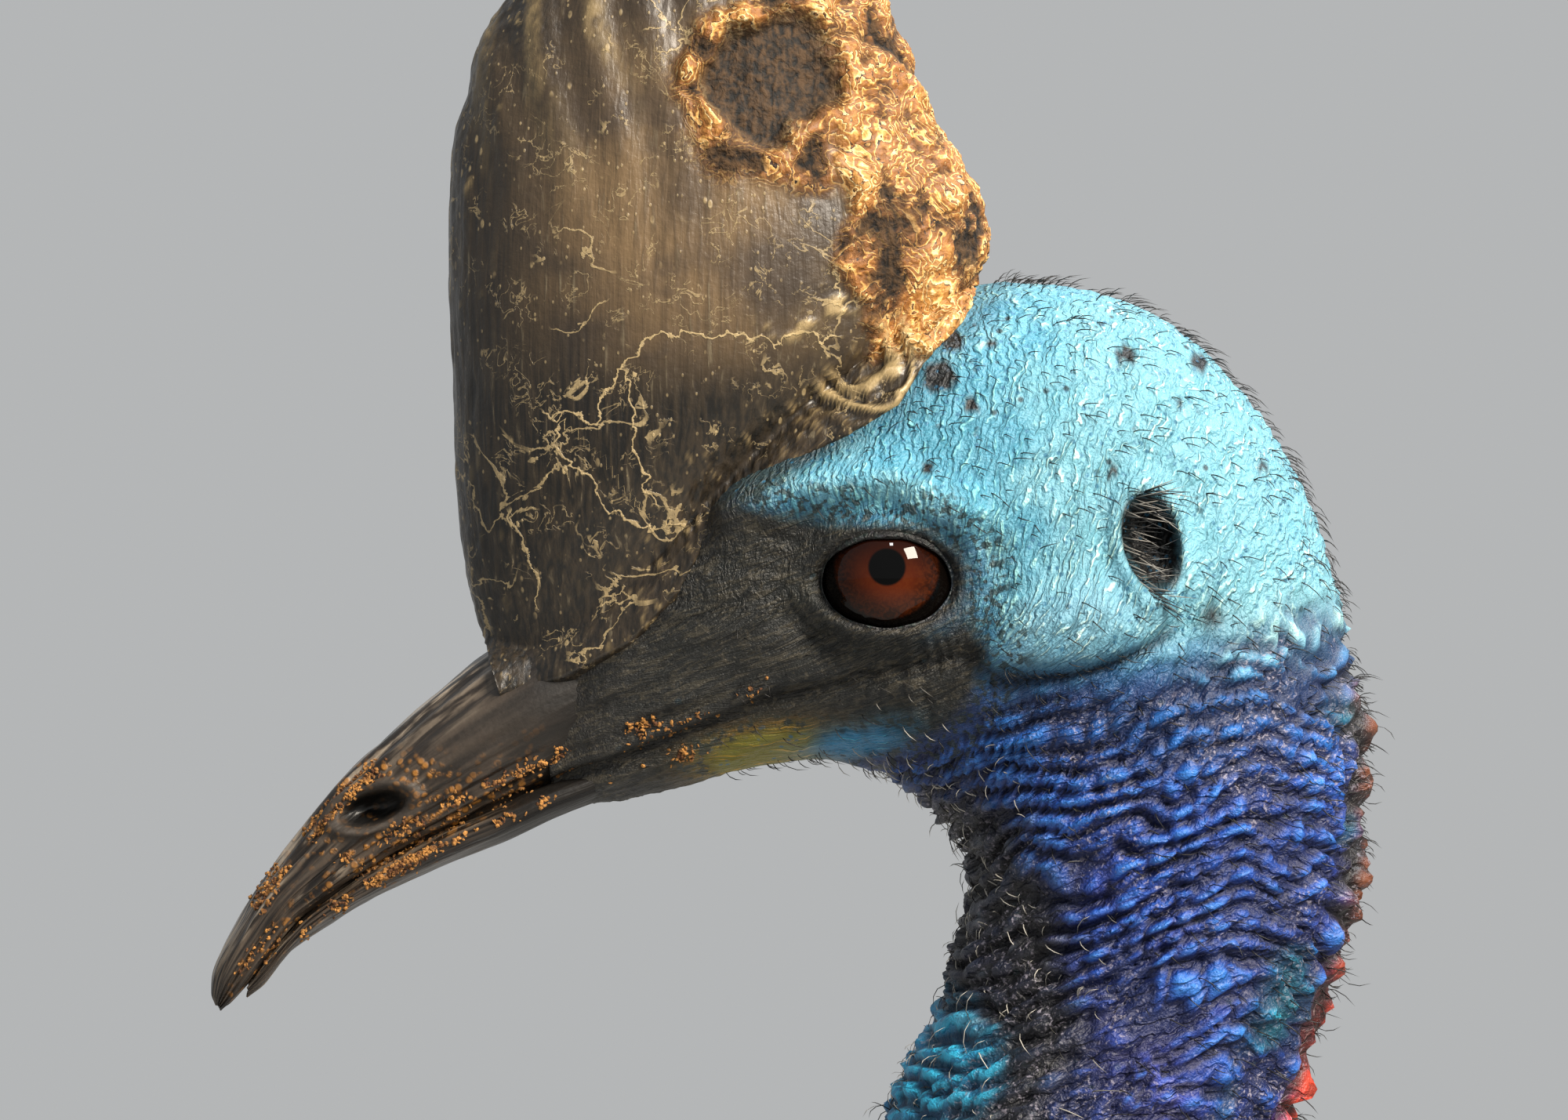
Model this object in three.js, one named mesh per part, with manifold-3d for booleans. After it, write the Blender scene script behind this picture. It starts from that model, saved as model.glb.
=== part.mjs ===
// A life-size southern cassowary that stands on both feet, head raised and facing -X.
// Millimetres, +Z up, floor at z = 0. The origin is on the floor, below the middle of the bird.
import * as THREE from "three";
import { mergeVertices } from "three/addons/utils/BufferGeometryUtils.js";
import Module from "manifold-3d";

const wasm = await Module();
wasm.setup();

// Driving sizes
const EYE_HEIGHT = 1420; // middle of the eye above the floor
const EYE_RADIUS = 12.5; // eyeball
const EYE_SIDE = 20.5; // middle of the eyeball from the middle plane
const SEAM = 0.3; // gap between two nodes that touch
const THIGH_LEVEL = 585; // height at which the legs leave the belly
const FOOT = { x: 462, z: 46 }; // where the shank meets the toes
const STANCE_HALF = 96; // foot from the middle plane
const STRIDE = 26; // each foot ahead of or behind the middle
const COAT = 28; // outside of the plumage above its core
const SINK = 10; // root of a lock below the core's surface
const FOLD_DEPTH = 2.2; // rings of skin round the neck
const HAIR = 0.05; // least distance between two corners of a node

// Trunk stations from the face to the tail: back and belly points beside the eye (x to the rear,
// z up from the eye), and the half width there. Body stations follow the outside of the plumage.
const STATIONS = {
  face: [-63, -9, -58, -42.7, 13],
  lores: [-44, 10, -42, -38, 18],
  brow: [-16, 37, -15, -32.3, 27],
  crown: [16, 51, 1, -36.5, 31.5],
  poll: [46, 45.5, 10, -45, 32.5],
  occiput: [68, 23, 13, -52, 32.5],
  nape: [80, -9, 12, -59, 31.5],
  napeEnd: [83.5, -36, 10, -66, 30],
  throat: [80, -64, 7, -77, 30],
  neckTop: [70.6, -95, -2, -95, 31],
  neckFore: [57, -142, -13, -138, 32],
  neckMiddle: [50, -195, -13, -195, 33.5],
  neckLow: [56, -250, -4, -258, 37],
  neckBase: [76, -305, 12, -335, 46],
  shoulder: [125, -362, 38, -440, 74],
  chest: [205, -396, 62, -590, 142],
  breast: [310, -397, 150, -755, 198],
  belly: [450, -388, 330, -868, 228],
  flank: [590, -415, 530, -890, 226],
  rump: [720, -485, 715, -880, 195],
  vent: [825, -600, 830, -855, 130],
  tailEnd: [884, -720, 886, -790, 34],
};
const NAMES = Object.keys(STATIONS);
const CUT = Object.fromEntries(NAMES.map((name, i) => [name, i]));

// Casque stations from the base to the top: front edge, rear edge, half width.
const CASQUE = [
  [-69, -17, 8, 36, 16],
  [-74.5, 4, 15.8, 54, 22.5],
  [-76.3, 34, 15, 66, 24],
  [-77, 62, 7.5, 79, 22],
  [-73.5, 87, 1.5, 94, 18.5],
  [-65, 105, -4, 109, 14],
  [-52, 121.5, -10, 123, 9.5],
  [-38, 132, -19, 132.5, 5],
];

// Bill stations from the face to the tip: ridge, mouth line, half width.
const UPPER_BILL = [
  [-63.4, -9.2, -59.9, -37.7, 13],
  [-72, -14.5, -66, -40.5, 12.6],
  [-80, -21, -73, -43.8, 11.8],
  [-88, -28.3, -81, -47.2, 10.8],
  [-96, -35.7, -89, -51.6, 9.8],
  [-103, -44.2, -96, -55.6, 8.8],
  [-109.5, -53, -102.8, -59.8, 7.5],
  [-114.6, -61.4, -107.8, -65.6, 6],
  [-118, -68, -112, -71, 4.3],
  [-118.4, -73, -115.6, -74.4, 2],
];
const LOWER_BILL = [
  [-60.2, -38.4, -58.6, -42.9, 12],
  [-67.4, -41.7, -69, -47.2, 11.3],
  [-75, -45.2, -79, -51, 10.2],
  [-84, -49.2, -89, -55.7, 8.9],
  [-91, -53.2, -97, -60.3, 7.7],
  [-101.8, -60, -104.3, -65.3, 5.8],
  [-108.4, -67, -109.4, -71.4, 3.6],
  [-112, -71.9, -112.2, -73.4, 1.6],
];

const materials = {
  horn: new THREE.MeshStandardMaterial({ color: 0x4a3f31, roughness: 0.45, metalness: 0 }),
  bill: new THREE.MeshStandardMaterial({ color: 0x2a2523, roughness: 0.4, metalness: 0 }),
  headSkin: new THREE.MeshStandardMaterial({ color: 0x7fd6dc, roughness: 0.6, metalness: 0 }),
  neckSkin: new THREE.MeshStandardMaterial({ color: 0x1b3fb0, roughness: 0.6, metalness: 0 }),
  wattle: new THREE.MeshStandardMaterial({ color: 0xb3221a, roughness: 0.5, metalness: 0 }),
  eye: new THREE.MeshStandardMaterial({ color: 0x5a1f08, roughness: 0.08, metalness: 0 }),
  ear: new THREE.MeshStandardMaterial({ color: 0x0e0a0c, roughness: 0.8, metalness: 0 }),
  plumage: new THREE.MeshStandardMaterial({ color: 0x0c0b0b, roughness: 0.55, metalness: 0 }),
  legSkin: new THREE.MeshStandardMaterial({ color: 0x5b564b, roughness: 0.7, metalness: 0 }),
  claw: new THREE.MeshStandardMaterial({ color: 0x23201d, roughness: 0.35, metalness: 0 }),
};

// A smooth run through rows of numbers, read at any place between the first row and the last.
function smoothRows(rows) {
  const at = (i, k) => {
    const last = rows.length - 1;
    if (i < 0) return 2 * rows[0][k] - rows[1][k];
    if (i > last) return 2 * rows[last][k] - rows[last - 1][k];
    return rows[i][k];
  };
  return (place) => {
    const i = Math.min(rows.length - 2, Math.max(0, Math.floor(place)));
    const t = place - i;
    return rows[0].map((_, k) => {
      const [a, b, c, d] = [at(i - 1, k), at(i, k), at(i + 1, k), at(i + 2, k)];
      return b + 0.5 * t * (c - a + t * (2 * a - 5 * b + 4 * c - d + t * (3 * (b - c) + d - a)));
    });
  };
}

// A closed solid through rings of points, each end closed by a fan to its middle.
function loft(rings) {
  const count = rings[0].length;
  const middle = (ring) =>
    ring.reduce((sum, p) => sum.add(p), new THREE.Vector3()).divideScalar(ring.length);
  const points = [...rings.flat(), middle(rings[0]), middle(rings.at(-1))];
  const [first, last] = [points.length - 2, points.length - 1];
  const faces = [];
  for (let i = 0; i < rings.length - 1; i++)
    for (let k = 0; k < count; k++) {
      const [a, b] = [i * count + k, i * count + ((k + 1) % count)];
      faces.push(a, b, a + count, b, b + count, a + count);
    }
  const end = (rings.length - 1) * count;
  for (let k = 0; k < count; k++) {
    const next = (k + 1) % count;
    faces.push(first, next, k, last, end + k, end + next);
  }
  return solidFrom(points, faces);
}

// A manifold solid from points and faces, turned so that its faces point out.
function solidFrom(points, faces) {
  const build = (triangles) =>
    new wasm.Manifold(
      new wasm.Mesh({
        numProp: 3,
        vertProperties: new Float32Array(points.flatMap((p) => [p.x, p.y, p.z])),
        triVerts: new Uint32Array(triangles),
      }),
    );
  const made = build(faces);
  if (made.volume() > 0) return made;
  const turned = [];
  for (let i = 0; i < faces.length; i += 3) turned.push(faces[i], faces[i + 2], faces[i + 1]);
  return build(turned);
}

// A solid from one of the library's closed geometries, after a placement.
function solidOf(geometry, placement = new THREE.Matrix4()) {
  const bare = geometry.clone().applyMatrix4(placement);
  bare.deleteAttribute("normal");
  bare.deleteAttribute("uv");
  const merged = mergeVertices(bare, 1e-4);
  const spots = merged.attributes.position;
  const points = [];
  for (let i = 0; i < spots.count; i++) points.push(new THREE.Vector3().fromBufferAttribute(spots, i));
  return solidFrom(points, [...merged.index.array]);
}

const join = (solids) => solids.reduce((sum, next) => sum.add(next));
const largest = (solid) =>
  solid.decompose().reduce((best, next) => (next.volume() > best.volume() ? next : best));

// An ellipsoid, turned about the Y axis by a tilt in degrees.
function ellipsoid([x, y, z], [rx, ry, rz], tilt = 0, around = 14, rows = 9) {
  const place = new THREE.Matrix4().compose(
    new THREE.Vector3(x, y, z),
    new THREE.Quaternion().setFromAxisAngle(new THREE.Vector3(0, 1, 0), (-tilt * Math.PI) / 180),
    new THREE.Vector3(rx, ry, rz),
  );
  return solidOf(new THREE.SphereGeometry(1, around, rows), place);
}

// A section between two points of a profile: an oval with a half width, grown by a margin,
// and moved along the trunk by a shift.
function section([ax, az, bx, bz, half], around, { grow = 0, shift = 0, power = 1 } = {}) {
  const a = new THREE.Vector3(ax, 0, az);
  const b = new THREE.Vector3(bx, 0, bz);
  const reach = a.clone().sub(b).multiplyScalar(0.5);
  const up = reach.clone().normalize();
  const middle = a.clone().add(b).multiplyScalar(0.5);
  middle.addScaledVector(new THREE.Vector3(up.z, 0, -up.x), shift);
  const ring = [];
  for (let k = 0; k < around; k++) {
    const angle = (2 * Math.PI * k) / around;
    const shape = (value) => Math.sign(value) * Math.abs(value) ** power;
    ring.push(
      middle
        .clone()
        .addScaledVector(up, (reach.length() + grow) * shape(Math.cos(angle)))
        .add(new THREE.Vector3(0, (half + grow) * shape(Math.sin(angle)), 0)),
    );
  }
  return ring;
}

const trunkAt = smoothRows(Object.values(STATIONS));

// The trunk from one station to another, less half the seam at each end.
function trunk(from, to, steps, around, { grow = 0, inset = () => 0, seams = [1, 1] } = {}) {
  const rings = [];
  for (let i = 0; i <= steps; i++) {
    const shift = i === 0 ? (seams[0] * SEAM) / 2 : i === steps ? (-seams[1] * SEAM) / 2 : 0;
    const place = from + ((to - from) * i) / steps;
    rings.push(section(trunkAt(place), around, { grow: grow - inset(place), shift }));
  }
  return loft(rings);
}

// A loft along rows of front, rear and half width.
function profiled(rows, steps, around, options = {}) {
  const at = smoothRows(rows);
  const rings = [];
  for (let i = 0; i <= steps; i++)
    rings.push(section(at(((rows.length - 1) * i) / steps), around, options));
  return loft(rings);
}

// Point on a tube through path rows, at a place along it and an angle from its front or rear.
function limbPoint(at, rows, place, angle, grow) {
  const [x, y, z, deep, wide] = at(place);
  const ahead = at(Math.min(rows.length - 1, place + 0.05));
  const behind = at(Math.max(0, place - 0.05));
  const run = new THREE.Vector3(ahead[0] - behind[0], ahead[1] - behind[1], ahead[2] - behind[2]);
  const side = new THREE.Vector3(0, 1, 0).addScaledVector(run, -run.y / run.lengthSq()).normalize();
  const out = run.clone().cross(side).normalize();
  return new THREE.Vector3(x, y, z)
    .addScaledVector(out, (deep + grow) * Math.cos(angle))
    .addScaledVector(side, (wide + grow) * Math.sin(angle));
}

// A closed tube through path rows of x, y, z and two radii.
function limb(rows, steps, around, grow = 0) {
  const at = smoothRows(rows);
  const rings = [];
  for (let i = 0; i <= steps; i++) {
    const ring = [];
    for (let k = 0; k < around; k++) {
      const angle = (2 * Math.PI * k) / around;
      ring.push(limbPoint(at, rows, ((rows.length - 1) * i) / steps, angle, grow));
    }
    rings.push(ring);
  }
  return loft(rings);
}

// Numbers from 0 to 1 that are the same on every run.
function seeded(seed) {
  let state = seed;
  return () => {
    state = (state + 0x6d2b79f5) | 0;
    let mixed = Math.imul(state ^ (state >>> 15), 1 | state);
    mixed = (mixed + Math.imul(mixed ^ (mixed >>> 7), 61 | mixed)) ^ mixed;
    return ((mixed ^ (mixed >>> 14)) >>> 0) / 4294967296;
  };
}

// A step of given length over a surface towards a wanted direction, as changes of its two places.
function stride(surface, u, v, want, length) {
  const tiny = 1e-3;
  const here = surface(u, v, 0);
  const alongU = surface(u + tiny, v, 0).sub(here).divideScalar(tiny);
  const alongV = surface(u, v + tiny, 0).sub(here).divideScalar(tiny);
  const out = surface(u, v, 1).sub(here).normalize();
  const way = want.clone().addScaledVector(out, -want.dot(out)).normalize();
  const [uu, uv, vv] = [alongU.dot(alongU), alongU.dot(alongV), alongV.dot(alongV)];
  const [wu, wv] = [way.dot(alongU), way.dot(alongV)];
  const scale = length / (uu * vv - uv * uv);
  return { way, out, du: (wu * vv - wv * uv) * scale, dv: (wv * uu - wu * uv) * scale };
}

// One flat, tapered lock, bent across like a roof tile: it starts below a surface's core and
// rises to the outside, and may hang away from the surface towards its tip.
function lock(surface, [startU, startV], form) {
  const { want, length, width, depth, thick, hang, last, round } = form;
  const widths = [0.72, 1];
  const steps = widths.length;
  const points = [];
  const faces = [0, 1, 2, 0, 2, 3];
  let [u, v] = [startU, startV];
  let spot = null;
  for (let i = 0; i <= steps; i++) {
    const t = i / steps;
    const { way, out, du, dv } = stride(surface, u, v, want(t), length / steps);
    const onSurface = surface(u, v, -(depth + SINK) * (1 - t));
    if (spot) {
      const fall = way.clone().lerp(new THREE.Vector3(0, 0, -1), hang).normalize();
      const free = spot.clone().addScaledVector(fall, length / steps);
      onSurface.lerp(free, u >= last ? 1 : hang * t);
    }
    spot = onSurface;
    if (i === steps) {
      points.push(spot);
      break;
    }
    const half = (widths[i] * width) / 2;
    const side = way.clone().cross(out).multiplyScalar(half);
    const edge = spot.clone().addScaledVector(out, -(half * half) / (2 * round));
    const ridge = spot.clone().addScaledVector(out, thick);
    points.push(edge.clone().sub(side), ridge, edge.add(side), spot);
    u = Math.min(last, u + du);
    v += dv;
  }
  const tip = 4 * steps;
  for (let i = 0; i < steps; i++)
    for (let k = 0; k < 4; k++) {
      const [a, b] = [4 * i + k, 4 * i + ((k + 1) % 4)];
      if (i === steps - 1) faces.push(a, tip, b);
      else if (k < 2) faces.push(a, a + 4, b, b, a + 4, b + 4);
      else faces.push(a, a + 4, b + 4, a, b + 4, b);
    }
  return solidFrom(points, faces);
}

// Nodes beside the eye use x to the rear and z up from the eye; the floor frame lifts them.
const bird = new THREE.Group();
const headFrame = new THREE.Group();
headFrame.position.z = EYE_HEIGHT;
bird.add(headFrame);

// Corners that share one spot, where two folds of a surface touch, are drawn a hair apart,
// each towards the middle of its own neighbours.
function drawApart(points, faces) {
  const spotOf = (p) => p.toArray().map((value) => value.toFixed(3)).join();
  const shared = new Map();
  points.forEach((p, i) => shared.set(spotOf(p), [...(shared.get(spotOf(p)) ?? []), i]));
  for (const corners of shared.values()) {
    if (corners.length < 2) continue;
    for (const corner of corners) {
      const middle = new THREE.Vector3();
      let count = 0;
      for (let f = 0; f < faces.length; f += 3) {
        const face = [...faces.subarray(f, f + 3)];
        if (!face.includes(corner)) continue;
        for (const other of face) middle.add(points[other]);
        count += 3;
      }
      const pull = middle.divideScalar(count).sub(points[corner]);
      points[corner].addScaledVector(pull, Math.min(0.3, HAIR / pull.length()));
    }
  }
}

function addNode(name, solid, material, frame = headFrame) {
  const { vertProperties, triVerts, numProp } = largest(solid).getMesh();
  const points = [];
  for (let i = 0; i < vertProperties.length; i += numProp)
    points.push(new THREE.Vector3(...vertProperties.subarray(i, i + 3)));
  drawApart(points, triVerts);
  const spots = new Float32Array(points.flatMap((p) => p.toArray()));
  const geometry = new THREE.BufferGeometry()
    .setAttribute("position", new THREE.BufferAttribute(spots, 3))
    .setIndex(new THREE.BufferAttribute(triVerts, 1));
  geometry.computeVertexNormals();
  const mesh = new THREE.Mesh(geometry, material);
  mesh.name = name;
  frame.add(mesh);
}

const SIDES = { left: -1, right: 1 };

// Head: lofted skull with brow, cheek and lids, opened for the eyes, the ears and the mouth.
const HEAD_END = CUT.napeEnd - 0.4;
const EAR = { x: 44.5, z: 5.8, wide: 5.2, tall: 8.8, deep: 9 };
const MOUTH = [
  [-60, -38],
  [-46, -31.5],
  [-32, -26],
  [-20, -20.8],
  [-7, -17.9],
  [14.8, -13.6],
];

// Half width of the trunk's surface at a point of its side view, found by halving.
function sideOf(x, z) {
  let best = { miss: Infinity };
  for (let place = 0; place < CUT.neckTop; place += 0.02) {
    const [ax, az, bx, bz, half] = trunkAt(place);
    const [dx, dz] = [ax - bx, az - bz];
    const across = Math.abs((x - bx) * dz - (z - bz) * dx) / Math.hypot(dx, dz);
    const share = ((x - bx) * dx + (z - bz) * dz) / (dx * dx + dz * dz);
    if (across < best.miss && share > 0 && share < 1)
      best = { miss: across, half: half * Math.sqrt(Math.max(0, 1 - (2 * share - 1) ** 2)) };
  }
  return best.half;
}

// A thin wedge along the mouth line that parts the lips of one side.
function mouthCut(side) {
  const rings = MOUTH.map(([x, z], i) => {
    const surface = sideOf(x, z);
    const open = i === MOUTH.length - 1 ? 0.3 : 0.9;
    const ring = [
      [surface + 3, open],
      [surface - 4, 0.15],
      [surface - 4, -0.15],
      [surface + 3, -open],
    ];
    return ring.map(([y, up]) => new THREE.Vector3(x, side * y, z + up));
  });
  return loft(rings);
}

// Skull, brow and cheek together, grown by a margin.
function headForms(grow, seams) {
  const forms = [trunk(seams[0] ? 0 : -0.02, HEAD_END, 18, 20, { grow, seams })];
  for (const side of Object.values(SIDES))
    forms.push(
      ellipsoid([-2, side * 20, 13.5], [25 + grow, 9 + grow, 5 + grow], -14, 10, 7),
      ellipsoid([31, side * 24.5, -8.8], [18 + grow, 9 + grow, 7 + grow], 6, 10, 7),
    );
  return join(forms);
}

function buildHead() {
  let head = headForms(0, [0, 1]);
  for (const side of Object.values(SIDES)) {
    const lids = solidOf(
      new THREE.TorusGeometry(10.6, 2.7, 5, 15),
      new THREE.Matrix4()
        .makeRotationX(Math.PI / 2)
        .setPosition(0.5, side * (EYE_SIDE + 7), -0.4),
    );
    head = head
      .add(lids)
      .subtract(ellipsoid([0, side * EYE_SIDE, 0], Array(3).fill(EYE_RADIUS + SEAM), 0, 12, 8))
      .subtract(earShape(side, SEAM, 0))
      .subtract(mouthCut(side));
  }
  addNode("head", head, materials.headSkin);
}

// An ear is an oval cup let into the side of the head.
function earShape(side, grow, lift) {
  const surface = sideOf(EAR.x, EAR.z);
  const sizes = [EAR.wide + grow, EAR.deep + grow, EAR.tall + grow];
  return ellipsoid([EAR.x, side * (surface + 1 + lift), EAR.z], sizes, -8, 10, 7);
}

function buildEars() {
  for (const [name, side] of Object.entries(SIDES)) {
    const surface = sideOf(EAR.x, EAR.z);
    const keep = solidOf(
      new THREE.BoxGeometry(60, 24, 60),
      new THREE.Matrix4().setPosition(EAR.x, side * (surface - 12 + 0.6), EAR.z),
    );
    const cup = earShape(side, 0, 0).intersect(keep).subtract(earShape(side, -1.3, 1.6));
    addNode(`ear_${name}`, cup, materials.ear);
  }
}

function buildEyes() {
  for (const [name, side] of Object.entries(SIDES))
    addNode(
      `eye_${name}`,
      ellipsoid([0, side * EYE_SIDE, 0], Array(3).fill(EYE_RADIUS), 0, 12, 8),
      materials.eye,
    );
}

// The casque stands on the skull and is cut to it.
function buildCasque() {
  const skull = headForms(SEAM, [0, 0]);
  addNode("casque", profiled(CASQUE, 12, 16).subtract(skull), materials.horn);
}

const NOSTRIL = { x: -89.7, z: -40.1, long: 5.8, tall: 2.6, tilt: 17 };

function buildBill() {
  let upper = profiled(UPPER_BILL, 12, 12);
  for (const side of Object.values(SIDES)) {
    const { x, z, long, tall, tilt } = NOSTRIL;
    upper = upper
      .add(ellipsoid([x, side * 7.6, z], [long + 2.6, 4, tall + 2], tilt, 8, 6))
      .subtract(ellipsoid([x, side * 11.5, z], [long, 4.6, tall], tilt, 8, 6));
  }
  const casqueRoom = profiled(CASQUE, 12, 16, { grow: SEAM });
  const mouth = profiled(LOWER_BILL, 9, 12, { grow: SEAM });
  addNode("bill_upper", upper.subtract(casqueRoom).subtract(mouth), materials.bill);
  addNode("bill_lower", profiled(LOWER_BILL, 9, 12), materials.bill);
}

// Neck, body and tail are lengths of the trunk.
const TORSO_START = CUT.neckBase;
const TAIL_START = CUT.rump + 0.35;

// Fleshy bulbs in pairs down the back of the neck, larger lower down.
const BULBS = { columns: [-0.34, 0.3], step: 0.5, small: 4.4, large: 9 };

function bulbs(from, to, seed) {
  const draw = seeded(seed);
  const made = [];
  for (let place = from; place < to; place += BULBS.step)
    for (const column of BULBS.columns) {
      const along = (place - from) / (CUT.neckBase - from);
      const radius = (BULBS.small + (BULBS.large - BULBS.small) * along) * (0.85 + 0.3 * draw());
      const [x, y, z] = surfacePoint(place + 0.2 * (column > 0), column + 0.1 * draw(), 1, 0.3 * radius);
      made.push(ellipsoid([x, y, z], [radius, radius * 0.85, radius * 1.25], 0, 6, 4));
    }
  return made;
}

// The neck's skin lies in rings of folds, shallow at both ends of each length.
function foldedNeck(from, to, steps) {
  const fold = (place) => {
    const end = Math.min(place - from, to - place);
    return end < 0.05 ? 0 : FOLD_DEPTH * (0.5 - 0.5 * Math.cos((Math.PI * steps * (place - from)) / (to - from)));
  };
  return trunk(from, to, steps, 12, { inset: fold });
}

function buildNeck() {
  const upper = join([foldedNeck(HEAD_END, CUT.neckFore, 8), ...bulbs(HEAD_END + 0.25, CUT.neckFore - 0.2, 5)]);
  const lower = join([
    foldedNeck(CUT.neckFore, TORSO_START, 10),
    ...bulbs(CUT.neckFore + 0.25, TORSO_START - 0.4, 9),
  ]);
  addNode("neck_upper", upper, materials.neckSkin);
  addNode("neck_lower", lower, materials.neckSkin);
}

// The plumage is a core with rows of flat locks that lie back and down, and hang off the
// flanks, the belly and the tail.
const BACK = new THREE.Vector3(1, 0, 0);
const DOWN = new THREE.Vector3(0, 0, -1);
const UP = new THREE.Vector3(0, 0, 1);
const FRONT = new THREE.Vector3(-1, 0, 0);
const SIDEWAYS = new THREE.Vector3(0, 1, 0);
const PLUME = { rowStep: 126, columnStep: 126, length: 272, width: 118, thick: 6, round: 200 };
const coatDepth = (place) => {
  const start = THREE.MathUtils.smoothstep(place, TORSO_START - 0.3, TORSO_START + 1.6);
  const end = 1 - 0.62 * THREE.MathUtils.smoothstep(place, CUT.vent, CUT.tailEnd);
  return COAT * start * end;
};

const bodyCore = (grow) => trunk(TORSO_START, CUT.tailEnd, 14, 16, { grow, inset: coatDepth });

function bodyLocks() {
  const draw = seeded(41);
  const made = [];
  let row = 0;
  for (let place = TORSO_START + 0.25; place < CUT.tailEnd - 0.1; row++) {
    const [ax, az, bx, bz, half] = trunkAt(place);
    const girth = Math.PI * (half + Math.hypot(ax - bx, az - bz) / 2);
    const columns = Math.max(2, Math.round(girth / 2 / PLUME.columnStep));
    const size = Math.min(1, 0.42 + 0.25 * (place - TORSO_START));
    const rear = THREE.MathUtils.smoothstep(place, CUT.breast, CUT.rump);
    const droop = THREE.MathUtils.smoothstep(place, CUT.rump, CUT.tailEnd);
    for (let k = 0; k < columns; k++)
      for (const side of Object.values(SIDES)) {
        const angle = (Math.PI * (k + 0.3 + 0.4 * (row % 2) + 0.16 * (draw() - 0.5))) / columns;
        const low = THREE.MathUtils.smoothstep(angle, 1.5, 2.4);
        const fall = 0.42 + 0.7 * rear + 1.6 * droop + 0.15 * draw();
        const form = {
          want: (t) => BACK.clone().addScaledVector(DOWN, fall * (1 + 0.5 * t)),
          length: PLUME.length * size * (1 - 0.25 * droop) * (0.88 + 0.24 * draw()),
          width: PLUME.width * (0.45 + 0.55 * size) * (0.9 + 0.2 * draw()),
          depth: coatDepth(place),
          thick: PLUME.thick,
          hang: Math.max(0.55 * low, 0.4 * rear * (1 - low), 0.7 * droop),
          last: CUT.tailEnd,
          round: PLUME.round,
        };
        const root = place + 0.12 * (draw() - 0.5);
        made.push(lock(trunkSurface(side), [root, angle], form));
      }
    place += (PLUME.rowStep * (0.45 + 0.55 * size)) / stationRun(place);
  }
  return wasm.Manifold.union(made);
}

// Distance along the middle of the trunk for one station at a place.
function stationRun(place) {
  const [one, two] = [trunkAt(place - 0.05), trunkAt(place + 0.05)];
  const middle = ([ax, az, bx, bz]) => [(ax + bx) / 2, (az + bz) / 2];
  const [[x1, z1], [x2, z2]] = [middle(one), middle(two)];
  return Math.hypot(x2 - x1, z2 - z1) / 0.1;
}

// All behind a plane across the trunk, which lies a little to its rear.
function behind(place, shift) {
  const [ax, az, bx, bz] = trunkAt(place);
  const turn = Math.atan2(ax - bx, az - bz);
  return solidOf(
    new THREE.BoxGeometry(2000, 2000, 2000),
    new THREE.Matrix4()
      .makeTranslation((ax + bx) / 2, 0, (az + bz) / 2)
      .multiply(new THREE.Matrix4().makeRotationY(turn))
      .multiply(new THREE.Matrix4().makeTranslation(1000 + shift, 0, 0)),
  );
}

// The torso and the tail are parted by a thin cut behind the rump.
function buildBody() {
  let locks = bodyLocks();
  for (const name of Object.keys(SIDES)) {
    const room = limb(legRows(THIGH_ROOM, name), 5, 8, SEAM).translate([0, 0, -EYE_HEIGHT]);
    locks = locks.subtract(room).subtract(wingShape(SIDES[name], SEAM));
  }
  const whole = bodyCore(0).add(locks.intersect(behind(TORSO_START, SEAM / 2)));
  const tail = whole.intersect(behind(TAIL_START, SEAM / 2));
  const torso = whole.subtract(behind(TAIL_START, -SEAM / 2));
  addNode("torso", torso, materials.plumage);
  addNode("tail", tail, materials.plumage);
}

// Two red wattles hang from the front of the neck, in folds and with a bulb at the end.
const WATTLE_FOLDS = 12;
const WATTLE = [
  [-4, 14, -192, 8, 10],
  [-20, 15.5, -204, 9, 12.5],
  [-30, 17, -236, 8, 13],
  [-31, 19.5, -278, 9, 17],
  [-28, 19.5, -306, 7, 12],
  [-27, 19.5, -318, 2, 4],
];

function buildWattles() {
  const neck = trunk(CUT.neckFore - 0.5, CUT.neckLow, 9, 20, { grow: SEAM });
  for (const [name, side] of Object.entries(SIDES)) {
    const smooth = smoothRows(WATTLE);
    const rows = [];
    for (let i = 0; i <= WATTLE_FOLDS; i++) {
      const [x, y, z, deep, wide] = smooth(((WATTLE.length - 1) * i) / WATTLE_FOLDS);
      const fold = 1 + 0.09 * Math.cos(Math.PI * i);
      rows.push([x, side * y, z, deep * fold, wide * fold]);
    }
    addNode(`wattle_${name}`, limb(rows, WATTLE_FOLDS, 8).subtract(neck), materials.wattle);
  }
}

// Point on the trunk's surface at a station and an angle from the back, lifted off it.
function surfacePoint(place, angle, side, lift) {
  const [ax, az, bx, bz, half] = trunkAt(place);
  const [cx, cz] = [(ax + bx) / 2, (az + bz) / 2];
  const reach = Math.hypot(ax - bx, az - bz) / 2;
  const [ux, uz] = [(ax - bx) / 2 / reach, (az - bz) / 2 / reach];
  const up = (reach + lift) * Math.cos(angle);
  return [cx + ux * up, side * (half + lift) * Math.sin(angle), cz + uz * up];
}

const trunkSurface = (side) => (place, angle, lift) =>
  new THREE.Vector3(...surfacePoint(place, angle, side, lift));

// The small wing ends in five bare quills that curve back along the flank.
const WING = { place: CUT.chest + 0.55, angle: 1.42, quills: 5, quillRadius: 3.4, lift: 13 };

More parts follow.
